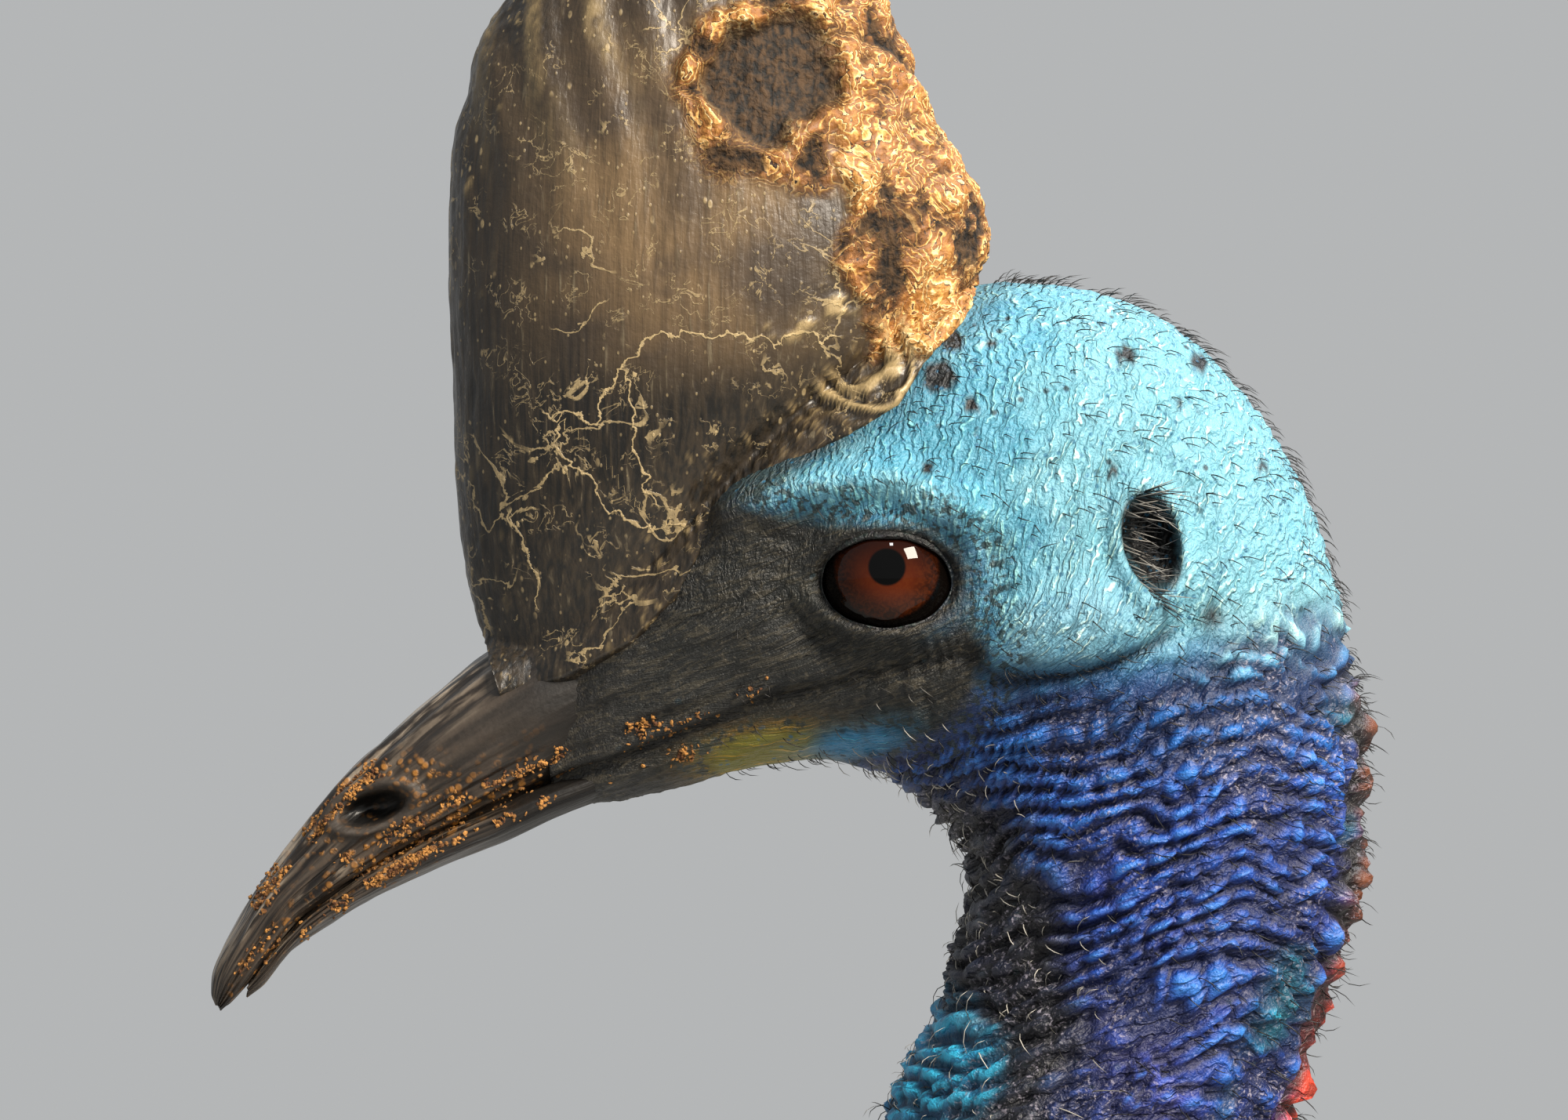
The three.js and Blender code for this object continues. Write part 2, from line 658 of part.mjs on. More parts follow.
function wingShape(side, grow) {
  const pieces = [];
  const root = surfacePoint(WING.place, WING.angle, side, -12);
  const [long, thick, tall] = [58 + grow, 28 + grow, 32 + grow];
  pieces.push(ellipsoid(root, [long, thick, tall], -28, 10, 6));
  for (let i = 0; i < WING.quills; i++) {
    const reach = 1.35 + 0.16 * Math.sin(2.1 * i);
    const rows = [];
    for (let k = 0; k <= 4; k++) {
      const t = k / 4;
      const place = WING.place + 0.05 + reach * t;
      const angle = WING.angle + (i - (WING.quills - 1) / 2) * (0.06 + 0.08 * t) + 0.3 * t * t;
      const thin = WING.quillRadius * (1 - 0.72 * t);
      rows.push([...surfacePoint(place, angle, side, WING.lift), thin, thin]);
    }
    pieces.push(limb(rows, 4, 4, grow));
  }
  return join(pieces);
}

function buildWings() {
  const core = bodyCore(SEAM);
  for (const [name, side] of Object.entries(SIDES))
    addNode(`wing_${name}`, wingShape(side, 0).subtract(core), materials.plumage);
}

// Legs stand in the floor frame; a stride shifts what is near the floor ahead or back.
const THIGH = [
  [440, 98, 690, 92, 58],
  [462, 100, 575, 86, 60],
  [486, 100, 500, 66, 52],
  [502, 98, 436, 49, 43],
];
const THIGH_COAT = 13; // outside of the thigh's plumage above its core
const THIGH_ROOM = THIGH.map(([x, y, z, deep, wide]) => [x, y, z, deep + 7, wide + 7]);
THIGH_ROOM.push([510, 97, 375, 70, 64]);
const SHANK = [
  [505, 97, 438, 31, 27],
  [514, 96, 396, 35, 29],
  [507, 96, 356, 28, 24],
  [489, 96, 235, 21, 19],
  [471, 96, 105, 23, 22],
  [463, 96, 50, 27, 27],
];
const SHANK_PLATES = { low: 92, high: 372, step: 40 };
const TOE_PLATE = 30; // length of a plate on a toe
const THIGH_COLUMNS = 5;
const STRIDE_OF = { left: -STRIDE, right: STRIDE };
const TOES = {
  inner: { turn: -24, length: 92, claw: 92, wide: 15 },
  middle: { turn: 0, length: 150, claw: 42, wide: 18 },
  outer: { turn: 26, length: 112, claw: 34, wide: 15.5 },
};

function legRows(rows, name) {
  const share = (z) => Math.max(0, 1 - (z - FOOT.z) / (THIGH_LEVEL - FOOT.z));
  return rows.map(([x, y, z, deep, wide]) => [
    x + STRIDE_OF[name] * share(z),
    SIDES[name] * y,
    z,
    deep,
    wide,
  ]);
}

// Everything above the floor.
const aboveFloor = solidOf(
  new THREE.BoxGeometry(3000, 3000, 1000),
  new THREE.Matrix4().setPosition(0, 0, 500),
);

function toeRows(name, { turn, length, wide }, from, to, rise) {
  const heading = Math.PI + (-SIDES[name] * turn * Math.PI) / 180;
  const start = { x: FOOT.x + STRIDE_OF[name], y: SIDES[name] * STANCE_HALF };
  return [0, 0.25, 0.5, 0.75, 1].map((t) => {
    const reach = from + (to - from) * t;
    const taper = rise(t, reach / length);
    return [
      start.x + reach * Math.cos(heading),
      start.y + reach * Math.sin(heading),
      taper.z,
      taper.deep,
      (taper.deep * wide) / 17,
    ];
  });
}

// A thigh's core, which ends a little above the ankle.
function thighCore(name, grow) {
  return limb(legRows(THIGH, name), 4, 10, grow - THIGH_COAT);
}

// Locks hang in rows round the thigh.
function thighLocks(name) {
  const rows = legRows(THIGH, name);
  const at = smoothRows(rows);
  const surface = (place, angle, lift) => limbPoint(at, rows, place, angle, lift);
  const draw = seeded(17);
  const made = [];
  for (const [row, place] of [1.1, 1.85].entries())
    for (let k = 0; k < THIGH_COLUMNS; k++) {
      const angle = (2 * Math.PI * (k + 0.5 * (row % 2) + 0.2 * draw())) / THIGH_COLUMNS;
      const form = {
        want: () => DOWN,
        length: 112 + 18 * draw() - 22 * row,
        width: 76 - 18 * row,
        depth: THIGH_COAT,
        thick: 3.5,
        hang: 0.35,
        last: THIGH.length - 1,
        round: 60,
      };
      made.push(lock(surface, [place, angle * SIDES[name]], form));
    }
  return wasm.Manifold.union(made);
}

// A plate with a straight upper edge sunk in and a lower edge that stands out.
function plate(middle, long, wide, out, side, thick) {
  const down = out.clone().cross(side);
  const corner = (along, across, lift) =>
    middle
      .clone()
      .addScaledVector(down, along * long)
      .addScaledVector(side, across * wide)
      .addScaledVector(out, lift * thick);
  const ring = (along, lift, across) => [
    corner(along, -across, -1.4),
    corner(along, -across * 0.6, lift),
    corner(along, across * 0.6, lift),
    corner(along, across, -1.4),
  ];
  return loft([ring(-0.5, 0, 0.9), ring(0.5, 1, 1)]);
}

// Broad plates down the front of the shank, each a little over the next.
function shankScutes(name) {
  const at = smoothRows(legRows(SHANK, name));
  const plates = [];
  for (let z = SHANK_PLATES.low; z < SHANK_PLATES.high; z += SHANK_PLATES.step) {
    let place = 1;
    while (at(place)[2] > z) place += 0.02;
    const [x, y, , deep, wide] = at(place);
    const middle = new THREE.Vector3(x - deep, y, z);
    plates.push(plate(middle, SHANK_PLATES.step * 0.88, wide * 0.62, FRONT, SIDEWAYS, 2.6));
  }
  return plates;
}

// Plates across the top of a toe.
function toeScutes(flesh, form, grow) {
  const at = smoothRows(flesh);
  const count = Math.round(form.length / TOE_PLATE);
  const plates = [];
  for (let i = 2; i < count; i++) {
    const [x, y, z, deep, wide] = at(((flesh.length - 1) * (i + 0.1)) / count);
    const heading = new THREE.Vector3(flesh.at(-1)[0] - flesh[0][0], flesh.at(-1)[1] - flesh[0][1], 0);
    const middle = new THREE.Vector3(x, y, z + deep);
    const across = heading.normalize().cross(UP);
    plates.push(plate(middle, TOE_PLATE * 0.86 + 2 * grow, wide * 0.6 + grow, UP, across, 2.2 + grow));
  }
  return plates;
}

function buildLegs() {
  const body = bodyCore(SEAM).translate([0, 0, EYE_HEIGHT]);
  for (const name of Object.keys(SIDES)) {
    const thigh = thighCore(name, 0)
      .add(thighLocks(name).subtract(limb(legRows(SHANK, name), 8, 8, SEAM)))
      .intersect(limb(legRows(THIGH_ROOM, name), 5, 8))
      .subtract(body);
    const thighRoom = thighCore(name, SEAM);
    const start = [FOOT.x + STRIDE_OF[name] + 2, SIDES[name] * STANCE_HALF];
    const pad = (grow) => ellipsoid([...start, 22], [37 + grow, 31 + grow, 33 + grow], 0, 10, 6);
    const shank = join([limb(legRows(SHANK, name), 8, 8), ...shankScutes(name)])
      .subtract(thighRoom)
      .subtract(pad(SEAM));
    addNode(`thigh_${name}`, thigh, materials.plumage, bird);
    addNode(`shank_${name}`, shank, materials.legSkin, bird);
    addNode(`foot_${name}`, pad(0).intersect(aboveFloor), materials.legSkin, bird);
    for (const [toe, form] of Object.entries(TOES)) {
      const round = (t) => ({ z: 19 - 6 * t, deep: 22 - 9 * t });
      const flesh = toeRows(name, form, 12, form.length, round);
      const hook = (t) => ({ z: 14 + 3 * Math.sin(Math.PI * t) - 8 * t, deep: 9.5 - 8.3 * t });
      const horn = toeRows(name, form, form.length - 12, form.length + form.claw, hook);
      const toeSolid = (grow) => join([limb(flesh, 4, 8, grow), ...toeScutes(flesh, form, grow)]);
      const others = Object.entries(TOES)
        .filter(([other]) => other < toe)
        .map(([, otherForm]) => limb(toeRows(name, otherForm, 12, otherForm.length, round), 4, 8, SEAM));
      let made = toeSolid(0).subtract(pad(SEAM)).intersect(aboveFloor);
      for (const other of others) made = made.subtract(other);
      addNode(`toe_${toe}_${name}`, made, materials.legSkin, bird);
      const claw = limb(horn, 4, 6).subtract(toeSolid(SEAM));
      addNode(`claw_${toe}_${name}`, claw, materials.claw, bird);
    }
  }
}

buildHead();
buildEars();
buildEyes();
buildCasque();
buildBill();
buildNeck();
buildBody();
buildWattles();
buildWings();
buildLegs();

// The origin goes on the floor below the middle of the whole bird.
bird.updateMatrixWorld(true);
const reach = new THREE.Box3().setFromObject(bird, true);
bird.position.set(-(reach.min.x + reach.max.x) / 2, -(reach.min.y + reach.max.y) / 2, 0);

export default bird;
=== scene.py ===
"""A life-size southern cassowary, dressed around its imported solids.

Sizes are millimetres beside the middle of the two eyes: x to the rear, y to the bird's
right and z up. Each piece is put into the frame, in metres, when its mesh is made.
"""

from __future__ import annotations

import logging
import math
from collections.abc import Callable, Sequence
from dataclasses import dataclass, field
from enum import Enum
from functools import partial

import bpy
import numpy as np
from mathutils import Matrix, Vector
from mathutils.kdtree import KDTree


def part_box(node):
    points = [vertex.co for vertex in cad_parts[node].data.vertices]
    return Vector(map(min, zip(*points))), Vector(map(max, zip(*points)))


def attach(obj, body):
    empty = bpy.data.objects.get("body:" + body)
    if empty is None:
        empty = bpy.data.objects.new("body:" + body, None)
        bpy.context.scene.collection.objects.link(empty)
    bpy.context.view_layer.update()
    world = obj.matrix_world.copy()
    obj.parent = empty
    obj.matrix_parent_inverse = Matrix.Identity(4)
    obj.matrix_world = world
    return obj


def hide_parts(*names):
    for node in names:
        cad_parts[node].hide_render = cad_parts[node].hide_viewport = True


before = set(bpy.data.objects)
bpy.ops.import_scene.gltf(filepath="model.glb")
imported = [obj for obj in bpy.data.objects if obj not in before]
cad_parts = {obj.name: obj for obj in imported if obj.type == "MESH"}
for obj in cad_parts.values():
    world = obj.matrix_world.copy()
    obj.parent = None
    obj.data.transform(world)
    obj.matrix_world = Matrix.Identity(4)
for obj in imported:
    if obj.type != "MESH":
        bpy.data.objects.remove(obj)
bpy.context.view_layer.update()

LOG = logging.getLogger("cassowary")
MM = 0.001
SIDES = {"left": -1, "right": 1}


def eye_middle() -> np.ndarray:
    """Middle of the two eyes in the frame, in metres."""
    corners = [tuple(corner) for name in ("eye_left", "eye_right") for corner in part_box(name)]
    return np.mean(corners, axis=0)


ORIGIN = eye_middle()
FLOOR = -ORIGIN[2] / MM
SOLE = FLOOR + 0.2


def placed(points: np.ndarray) -> np.ndarray:
    """Millimetres beside the eyes as metres in the frame."""
    return points * MM + ORIGIN


def tint(code: int) -> tuple[float, float, float, float]:
    """Linear colour of a hex code as red, green, blue and one."""
    parts = [((code >> shift) & 255) / 255 for shift in (16, 8, 0)]
    return (*(p / 12.92 if p <= 0.04045 else ((p + 0.055) / 1.055) ** 2.4 for p in parts), 1.0)


def painted(points: np.ndarray, code: int) -> np.ndarray:
    """One colour for each of the points."""
    return np.broadcast_to(tint(code)[:3], points.shape)


def rise(value: np.ndarray, low: float, high: float) -> np.ndarray:
    """Smooth step from 0 at low to 1 at high."""
    t = np.clip((value - low) / (high - low), 0, 1)
    return t * t * (3 - 2 * t)


def bump(distance: np.ndarray, width: float) -> np.ndarray:
    """Rounded hill of height 1 at distance 0 and a spread of the width."""
    return np.exp(-((distance / width) ** 2))


def blend(start: np.ndarray, end: int | np.ndarray, share: np.ndarray) -> np.ndarray:
    """Colours mixed by shares towards others, or towards the colour of a hex code."""
    if isinstance(end, int):
        end = np.array(tint(end)[:3])
    return start * (1 - share[..., None]) + end * share[..., None]


def unit(vectors: np.ndarray, tiny: float = 0.0) -> np.ndarray:
    """Vectors of length 1, with a tiny number against lengths of 0."""
    return vectors / (np.linalg.norm(vectors, axis=-1, keepdims=True) + tiny)


def ring(count: int) -> np.ndarray:
    """Angles of so many steps round a full turn."""
    return 2 * np.pi * np.arange(count) / count


def from_zero(angle: np.ndarray) -> np.ndarray:
    """Size of an angle, whichever way round from 0 is shorter."""
    turned = angle % (2 * np.pi)
    return np.minimum(turned, 2 * np.pi - turned)


def crossed(first: np.ndarray, second: np.ndarray) -> list[np.ndarray]:
    """Two grids, rows by columns, with every pair of two lists."""
    return np.meshgrid(first, second, indexing="ij")


def rolled(radius: float, angle: np.ndarray, along: np.ndarray) -> np.ndarray:
    """Places on a round bar, so that noise meets itself after a full turn."""
    return np.stack([radius * np.cos(angle), radius * np.sin(angle), along], -1)


def travelled(points: np.ndarray) -> np.ndarray:
    """Distance along a line of points up to each of them."""
    return np.concatenate([[0], np.cumsum(np.linalg.norm(np.diff(points, axis=0), axis=1))])


def with_ends(grid: np.ndarray) -> np.ndarray:
    """Rows of a grid of values, then those of its closed tube's two end middles."""
    return np.concatenate([grid.reshape(-1, *grid.shape[2:]), grid[:1, 0], grid[-1:, 0]])


def oval(x: np.ndarray, z: np.ndarray, form: Oval) -> np.ndarray:
    """Distance from an oval's middle, 1 on its edge.

    Args:
        x: places to the rear.
        z: places up.
        form: the oval.

    Returns:
        Distances, below 1 inside it.
    """
    turn = math.radians(form.tilt)
    dx, dz = x - form.x, z - form.z
    along = dx * math.cos(turn) + dz * math.sin(turn)
    across = dz * math.cos(turn) - dx * math.sin(turn)
    return np.hypot(along / form.long, across / form.tall)


@dataclass(frozen=True)
class Oval:
    """Oval in the side view: middle, two half lengths and tilt in degrees."""

    x: float
    z: float
    long: float
    tall: float
    tilt: float = 0.0

    def pulled(self, x: np.ndarray, z: np.ndarray, pull: np.ndarray) -> tuple[np.ndarray, np.ndarray]:
        """Places moved to so many times their distance from the middle."""
        return self.x + (x - self.x) * pull, self.z + (z - self.z) * pull


@dataclass(frozen=True)
class Line:
    """Open or closed line of points in the side view."""

    points: tuple[tuple[float, float], ...]
    closed: bool = False

    def gap(self, x: np.ndarray, z: np.ndarray) -> tuple[np.ndarray, np.ndarray]:
        """Distance to the line and the share of its length at the nearest point.

        Args:
            x: places to the rear.
            z: places up.

        Returns:
            Distances, and shares from 0 to 1.
        """
        spots = np.array(self.points + (self.points[:1] if self.closed else ()), float)
        lengths = np.hypot(*np.diff(spots, axis=0).T)
        before = np.concatenate([[0], np.cumsum(lengths)])
        best = np.full(np.shape(x), np.inf)
        share = np.zeros(np.shape(x))
        for i, length in enumerate(lengths):
            (ax, az), (bx, bz) = spots[i], spots[i + 1]
            t = np.clip(((x - ax) * (bx - ax) + (z - az) * (bz - az)) / length**2, 0, 1)
            far = np.hypot(x - ax - t * (bx - ax), z - az - t * (bz - az))
            nearer = far < best
            best = np.where(nearer, far, best)
            share = np.where(nearer, (before[i] + t * length) / before[-1], share)
        return best, share

    def side(self, x: np.ndarray, z: np.ndarray) -> np.ndarray:
        """Distance to the open line, negative on one side of it.

        Args:
            x: places to the rear.
            z: places up.

        Returns:
            Distances with their sign.
        """
        spots = np.array(self.points, float)
        best = np.full(np.shape(x), np.inf)
        signed = np.zeros(np.shape(x))
        for (ax, az), (bx, bz) in zip(spots[:-1], spots[1:]):
            far = Line(((ax, az), (bx, bz))).gap(x, z)[0]
            turn = np.sign((bx - ax) * (z - az) - (bz - az) * (x - ax))
            signed = np.where(far < best, far * turn, signed)
            best = np.minimum(far, best)
        return signed

    def depth(self, x: np.ndarray, z: np.ndarray) -> np.ndarray:
        """Distance into the closed line, negative outside it.

        Args:
            x: places to the rear.
            z: places up.

        Returns:
            Distances with their sign.
        """
        spots = np.array(self.points, float)
        odd = np.zeros(np.shape(x), bool)
        for (ax, az), (bx, bz) in zip(spots, np.roll(spots, -1, axis=0)):
            if az == bz:
                continue
            crosses = ((az > z) != (bz > z)) & (x < (bx - ax) * (z - az) / (bz - az) + ax)
            odd ^= crosses
        return np.where(odd, 1, -1) * Line(self.points, True).gap(x, z)[0]


@dataclass(frozen=True)
class Noise:
    """Seeded noise in space, the same on every run."""

    seed: int

    def draw(self, cell: np.ndarray, channel: int = 0) -> np.ndarray:
        """Number from 0 to 1 for each whole-number cell.

        Args:
            cell: numbers of the cells.
            channel: which of its draws.

        Returns:
            The numbers.
        """
        mixed = cell[..., 0] * 374761393 + cell[..., 1] * 668265263 + cell[..., 2] * 974634221
        mixed = mixed + (self.seed * 1013 + channel) * 1274126177
        mixed = (mixed ^ (mixed >> 13)) & 0xFFFFFFFF
        mixed = (mixed * 1274126177) & 0xFFFFFFFF
        return ((mixed ^ (mixed >> 16)) & 0xFFFFFF) / 0xFFFFFF

    def smooth(self, points: np.ndarray, size: float) -> np.ndarray:
        """Noise from -1 to 1 with features of a size.

        Args:
            points: places in space.
            size: size of its features.

        Returns:
            Values.
        """
        scaled = points / size
        base = np.floor(scaled).astype(np.int64)
        part = scaled - base
        part = part * part * (3 - 2 * part)
        total = np.zeros(points.shape[:-1])
        for corner in np.ndindex(2, 2, 2):
            weight = np.prod(np.where(np.array(corner, bool), part, 1 - part), axis=-1)
            total += weight * self.draw(base + corner)
        return 2 * total - 1

    def layered(self, points: np.ndarray, size: float, layers: int = 4) -> np.ndarray:
        """Noise of several sizes, each half as large as the one before."""
        total = sum(self.smooth(points + 7.3 * i, size / 2**i) / 2**i for i in range(layers))
        return total / (2 - 0.5 ** (layers - 1))

    def cells(self, points: np.ndarray, size: float) -> tuple[np.ndarray, np.ndarray]:
        """Rounded cells.

        Args:
            points: places in space.
            size: spacing of the cells.

        Returns:
            Height from 0 on a cell's edge to about 1 in its middle, and a draw for each cell.
        """
        scaled = points / size
        base = np.floor(scaled).astype(np.int64)
        first = np.full(points.shape[:-1], np.inf)
        second = first.copy()
        draw = np.zeros_like(first)
        for offset in np.ndindex(3, 3, 3):
            cell = base + offset - 1
            spot = cell + np.stack([self.draw(cell, i) for i in (1, 2, 3)], axis=-1)
            far = np.linalg.norm(spot - scaled, axis=-1)
            nearer = far < first
            second = np.where(nearer, first, np.minimum(second, far))
            draw = np.where(nearer, self.draw(cell, 4), draw)
            first = np.where(nearer, far, first)
        return np.clip((second - first) / 0.62, 0, 1), draw


class Run:
    """Smooth run through rows of numbers, read at any place between the first and last row."""

    def __init__(self, rows: Sequence[Sequence[float]]) -> None:
        """Keeps the rows with one more at each end.

        Args:
            rows: rows of numbers.
        """
        table = np.asarray(rows, float)
        before, after = 2 * table[0] - table[1], 2 * table[-1] - table[-2]
        self.table = np.vstack([before, table, after])
        self.last = len(table) - 1

    def __call__(self, place: np.ndarray | float) -> np.ndarray:
        """Rows at the places, with one more axis than the places have.

        Args:
            place: row numbers and what is between them.

        Returns:
            The rows.
        """
        place = np.asarray(place, float)
        i = np.clip(np.floor(place).astype(int), 0, self.last - 1)
        t = (place - i)[..., None]
        a, b, c, d = (self.table[i + k] for k in range(4))
        return b + 0.5 * t * (c - a + t * (2 * a - 5 * b + 4 * c - d + t * (3 * (b - c) + d - a)))


# Back and belly points beside the eye and the half width, outside the plumage.
STATIONS = {
    "face": (-63, -9, -58, -42.7, 13),
    "lores": (-44, 10, -42, -38, 18),
    "brow": (-16, 37, -15, -32.3, 27),
    "crown": (16, 51, 1, -36.5, 31.5),
    "poll": (46, 45.5, 10, -45, 32.5),
    "occiput": (68, 23, 13, -52, 32.5),
    "nape": (80, -9, 12, -59, 31.5),
    "nape_end": (83.5, -36, 10, -66, 30),
    "throat": (80, -64, 7, -77, 30),
    "neck_top": (70.6, -95, -2, -95, 31),
    "neck_fore": (57, -142, -13, -138, 32),
    "neck_middle": (50, -195, -13, -195, 33.5),
    "neck_low": (56, -250, -4, -258, 37),
    "neck_base": (76, -305, 12, -335, 46),
    "shoulder": (125, -362, 38, -440, 74),
    "chest": (205, -396, 62, -590, 142),
    "breast": (310, -397, 150, -755, 198),
    "belly": (450, -388, 330, -868, 228),
    "flank": (590, -415, 530, -890, 226),
    "rump": (720, -485, 715, -880, 195),
    "vent": (825, -600, 830, -855, 130),
    "tail_end": (884, -720, 886, -790, 34),
}
CUT = {name: i for i, name in enumerate(STATIONS)}
COAT = 28.0


def coat_depth(place: np.ndarray) -> np.ndarray:
    """Outside of the plumage above the skin at each place along the trunk."""
    start = rise(place, CUT["neck_base"] - 0.3, CUT["neck_base"] + 1.6)
    return COAT * start * (1 - 0.62 * rise(place, CUT["vent"], CUT["tail_end"]))


def loft(row: np.ndarray, angle: np.ndarray, lift: np.ndarray | float = 0) -> np.ndarray:
    """Points round oval sections.

    Args:
        row: x and z of the back point and of the front point, and the half width.
        angle: angles from the back, in radians, up to the bird's right.
        lift: distance off the surface.

    Returns:
        Points, one row each.
    """
    ax, az, bx, bz, half = np.moveaxis(row, -1, 0)
    reach = np.hypot(ax - bx, az - bz) / 2
    up = (reach + lift) * np.cos(angle) / reach / 2
    across = (half + lift) * np.sin(angle)
    return np.stack([(ax + bx) / 2 + (ax - bx) * up, across, (az + bz) / 2 + (az - bz) * up], -1)


class Trunk:
    """Surface from the face to the tail, told by a place and an angle from the back."""

    def __init__(self) -> None:
        """Reads the stations."""
        self.run = Run(list(STATIONS.values()))

    def at(self, place: np.ndarray, angle: np.ndarray, lift: np.ndarray | float = 0) -> np.ndarray:
        """Points on the surface or at a distance off it."""
        return loft(self.run(place), angle, lift)

    def travelled(self, place: np.ndarray) -> np.ndarray:
        """Distance along the trunk, nearer its back, up to each place of a rising list."""
        back, front = self.run(place)[:, 0:2], self.run(place)[:, 2:4]
        return travelled(0.75 * back + 0.25 * front)


TRUNK = Trunk()


def limb_frame(run: Run, place: np.ndarray) -> tuple[np.ndarray, np.ndarray, np.ndarray, np.ndarray]:
    """Middle, direction to the front or rear, direction to the side and radii of a limb.

    Args:
        run: rows of x, y, z and two radii.
        place: places along it.

    Returns:
        Middles, the two directions and pairs of radii, one row each.
    """
    rows = run(place)
    way = run(np.minimum(run.last, place + 0.05))[..., :3] - run(np.maximum(0, place - 0.05))[..., :3]
    side = unit(np.array([0, 1.0, 0]) - way * (way[..., 1:2] / np.sum(way**2, axis=-1, keepdims=True)))
    return rows[..., :3], unit(np.cross(way, side)), side, rows[..., 3:5]


def limb_points(run: Run, place: np.ndarray, angle: np.ndarray, lift: np.ndarray | float = 0) -> np.ndarray:
    """Points on a tube along rows of x, y, z and two radii.

    Args:
        run: the rows.
        place: places along it.
        angle: angles round it.
        lift: distance off the surface.

    Returns:
        Points, one row each.
    """
    middle, out, side, radii = limb_frame(run, place)
    deep = ((radii[..., 0] + lift) * np.cos(angle))[..., None]
    wide = ((radii[..., 1] + lift) * np.sin(angle))[..., None]
    return middle + out * deep + side * wide


def turned_out(faces: list[np.ndarray], quads: np.ndarray, middle: np.ndarray) -> list[np.ndarray]:
    """Faces, all turned over if the corners of some of them say that they face inwards.

    Args:
        faces: arrays of point numbers.
        quads: four corner points of faces among them.
        middle: middle of the form beside each of those faces.

    Returns:
        Faces that look outwards.
    """
    normal = np.cross(quads[..., 1, :] - quads[..., 0, :], quads[..., 3, :] - quads[..., 0, :])
    inwards = np.sum(normal * (quads.mean(-2) - middle)) < 0
    return [face[:, ::-1] for face in faces] if inwards else faces


def closed_tube(grid: np.ndarray) -> tuple[np.ndarray, list[np.ndarray]]:
    """Points and outward faces of a tube from a grid of points, with a fan at each end.

    Args:
        grid: rings of points.

    Returns:
        Points, and faces as arrays of point numbers.
    """
    rows, columns = grid.shape[:2]
    points = with_ends(grid)
    points[-2:] = grid[0].mean(0), grid[-1].mean(0)
    i, j = crossed(np.arange(rows - 1), np.arange(columns))
    a, b = i * columns + j, i * columns + (j + 1) % columns
    quads = np.stack([a, b, b + columns, a + columns], -1).reshape(-1, 4)
    spot = np.arange(columns)
    following = (spot + 1) % columns
    end, last = np.full(columns, rows * columns), (rows - 1) * columns
    fans = [[end, following, spot], [end + 1, last + spot, last + following]]
    faces = [quads, np.vstack([np.stack(fan, -1) for fan in fans])]
    return points, turned_out(faces, points[quads], np.repeat(grid[:-1].mean(1), columns, axis=0))


def grid_normals(grid: np.ndarray) -> np.ndarray:
    """Outward unit normals of a tube's grid of points.

    Args:
        grid: rings of points.

    Returns:
        Normals, one for each point.
    """
    around = np.roll(grid, -1, axis=1) - np.roll(grid, 1, axis=1)
    normal = unit(np.cross(around, np.gradient(grid, axis=0)), 1e-9)
    outward = np.sum(normal * (grid - grid.mean(1, keepdims=True)), axis=-1)
    return normal * (1 if outward.sum() > 0 else -1)


def make_piece(name: str, points: np.ndarray, faces: Sequence[np.ndarray]) -> bpy.types.Object:
    """Smooth-shaded mesh object from points beside the eyes.

    Args:
        name: object's name.
        points: millimetres, one row each.
        faces: arrays of point numbers, one array for each count of corners.

    Returns:
        The object, at the origin.
    """
    mesh = bpy.data.meshes.new(name)
    mesh.vertices.add(len(points))
    mesh.vertices.foreach_set("co", placed(points).astype(np.float32).ravel())
    if faces:
        corners = np.concatenate([face.ravel() for face in faces]).astype(np.int32)
        counts = np.concatenate([np.full(len(face), face.shape[1]) for face in faces])
        starts = np.concatenate([[0], np.cumsum(counts)[:-1]]).astype(np.int32)
        mesh.loops.add(len(corners))
        mesh.loops.foreach_set("vertex_index", corners)
        mesh.polygons.add(len(counts))
        mesh.polygons.foreach_set("loop_start", starts)
        mesh.polygons.foreach_set("use_smooth", np.ones(len(counts), bool))
    mesh.update(calc_edges=True)
    mesh.validate()
    piece = bpy.data.objects.new(name, mesh)
    bpy.context.scene.collection.objects.link(piece)
    return piece


def join_parts(parts: Sequence[tuple[np.ndarray, list[np.ndarray]]]) -> tuple[np.ndarray, list[np.ndarray]]:
    """Points and faces of several parts as one, without joining their walls."""
    first = np.cumsum([0] + [len(points) for points, _ in parts])
    faces = [face + start for (_, own), start in zip(parts, first) for face in own]
    return np.vstack([points for points, _ in parts]), faces


class Store(Enum):
    """Kinds of point attribute and the names of their value fields."""

    NUMBER = ("FLOAT", "value")
    VECTOR = ("FLOAT_VECTOR", "vector")
    COLOUR = ("FLOAT_COLOR", "color")


def store(piece: bpy.types.Object, name: str, kind: Store, values: np.ndarray) -> None:
    """Keeps a number, a vector or a colour for each point of a piece.

    Args:
        piece: the piece.
        name: attribute's name.
        kind: which of the three it is.
        values: one row for each point.
    """
    data_type, value_field = kind.value
    attribute = piece.data.attributes.new(name, data_type, "POINT")
    if kind is Store.COLOUR and values.shape[-1] == 3:
        values = np.hstack([values, np.ones((len(values), 1))])
    attribute.data.foreach_set(value_field, np.ascontiguousarray(values, np.float32).ravel())


def search_tree(points: np.ndarray) -> KDTree:
    """Tree that finds the points nearest to a place.

    Args:
        points: one row each.

    Returns:
        The tree, which counts them in order.
    """
    tree = KDTree(len(points))
    for i, point in enumerate(points):
        tree.insert(point, i)
    tree.balance()
    return tree


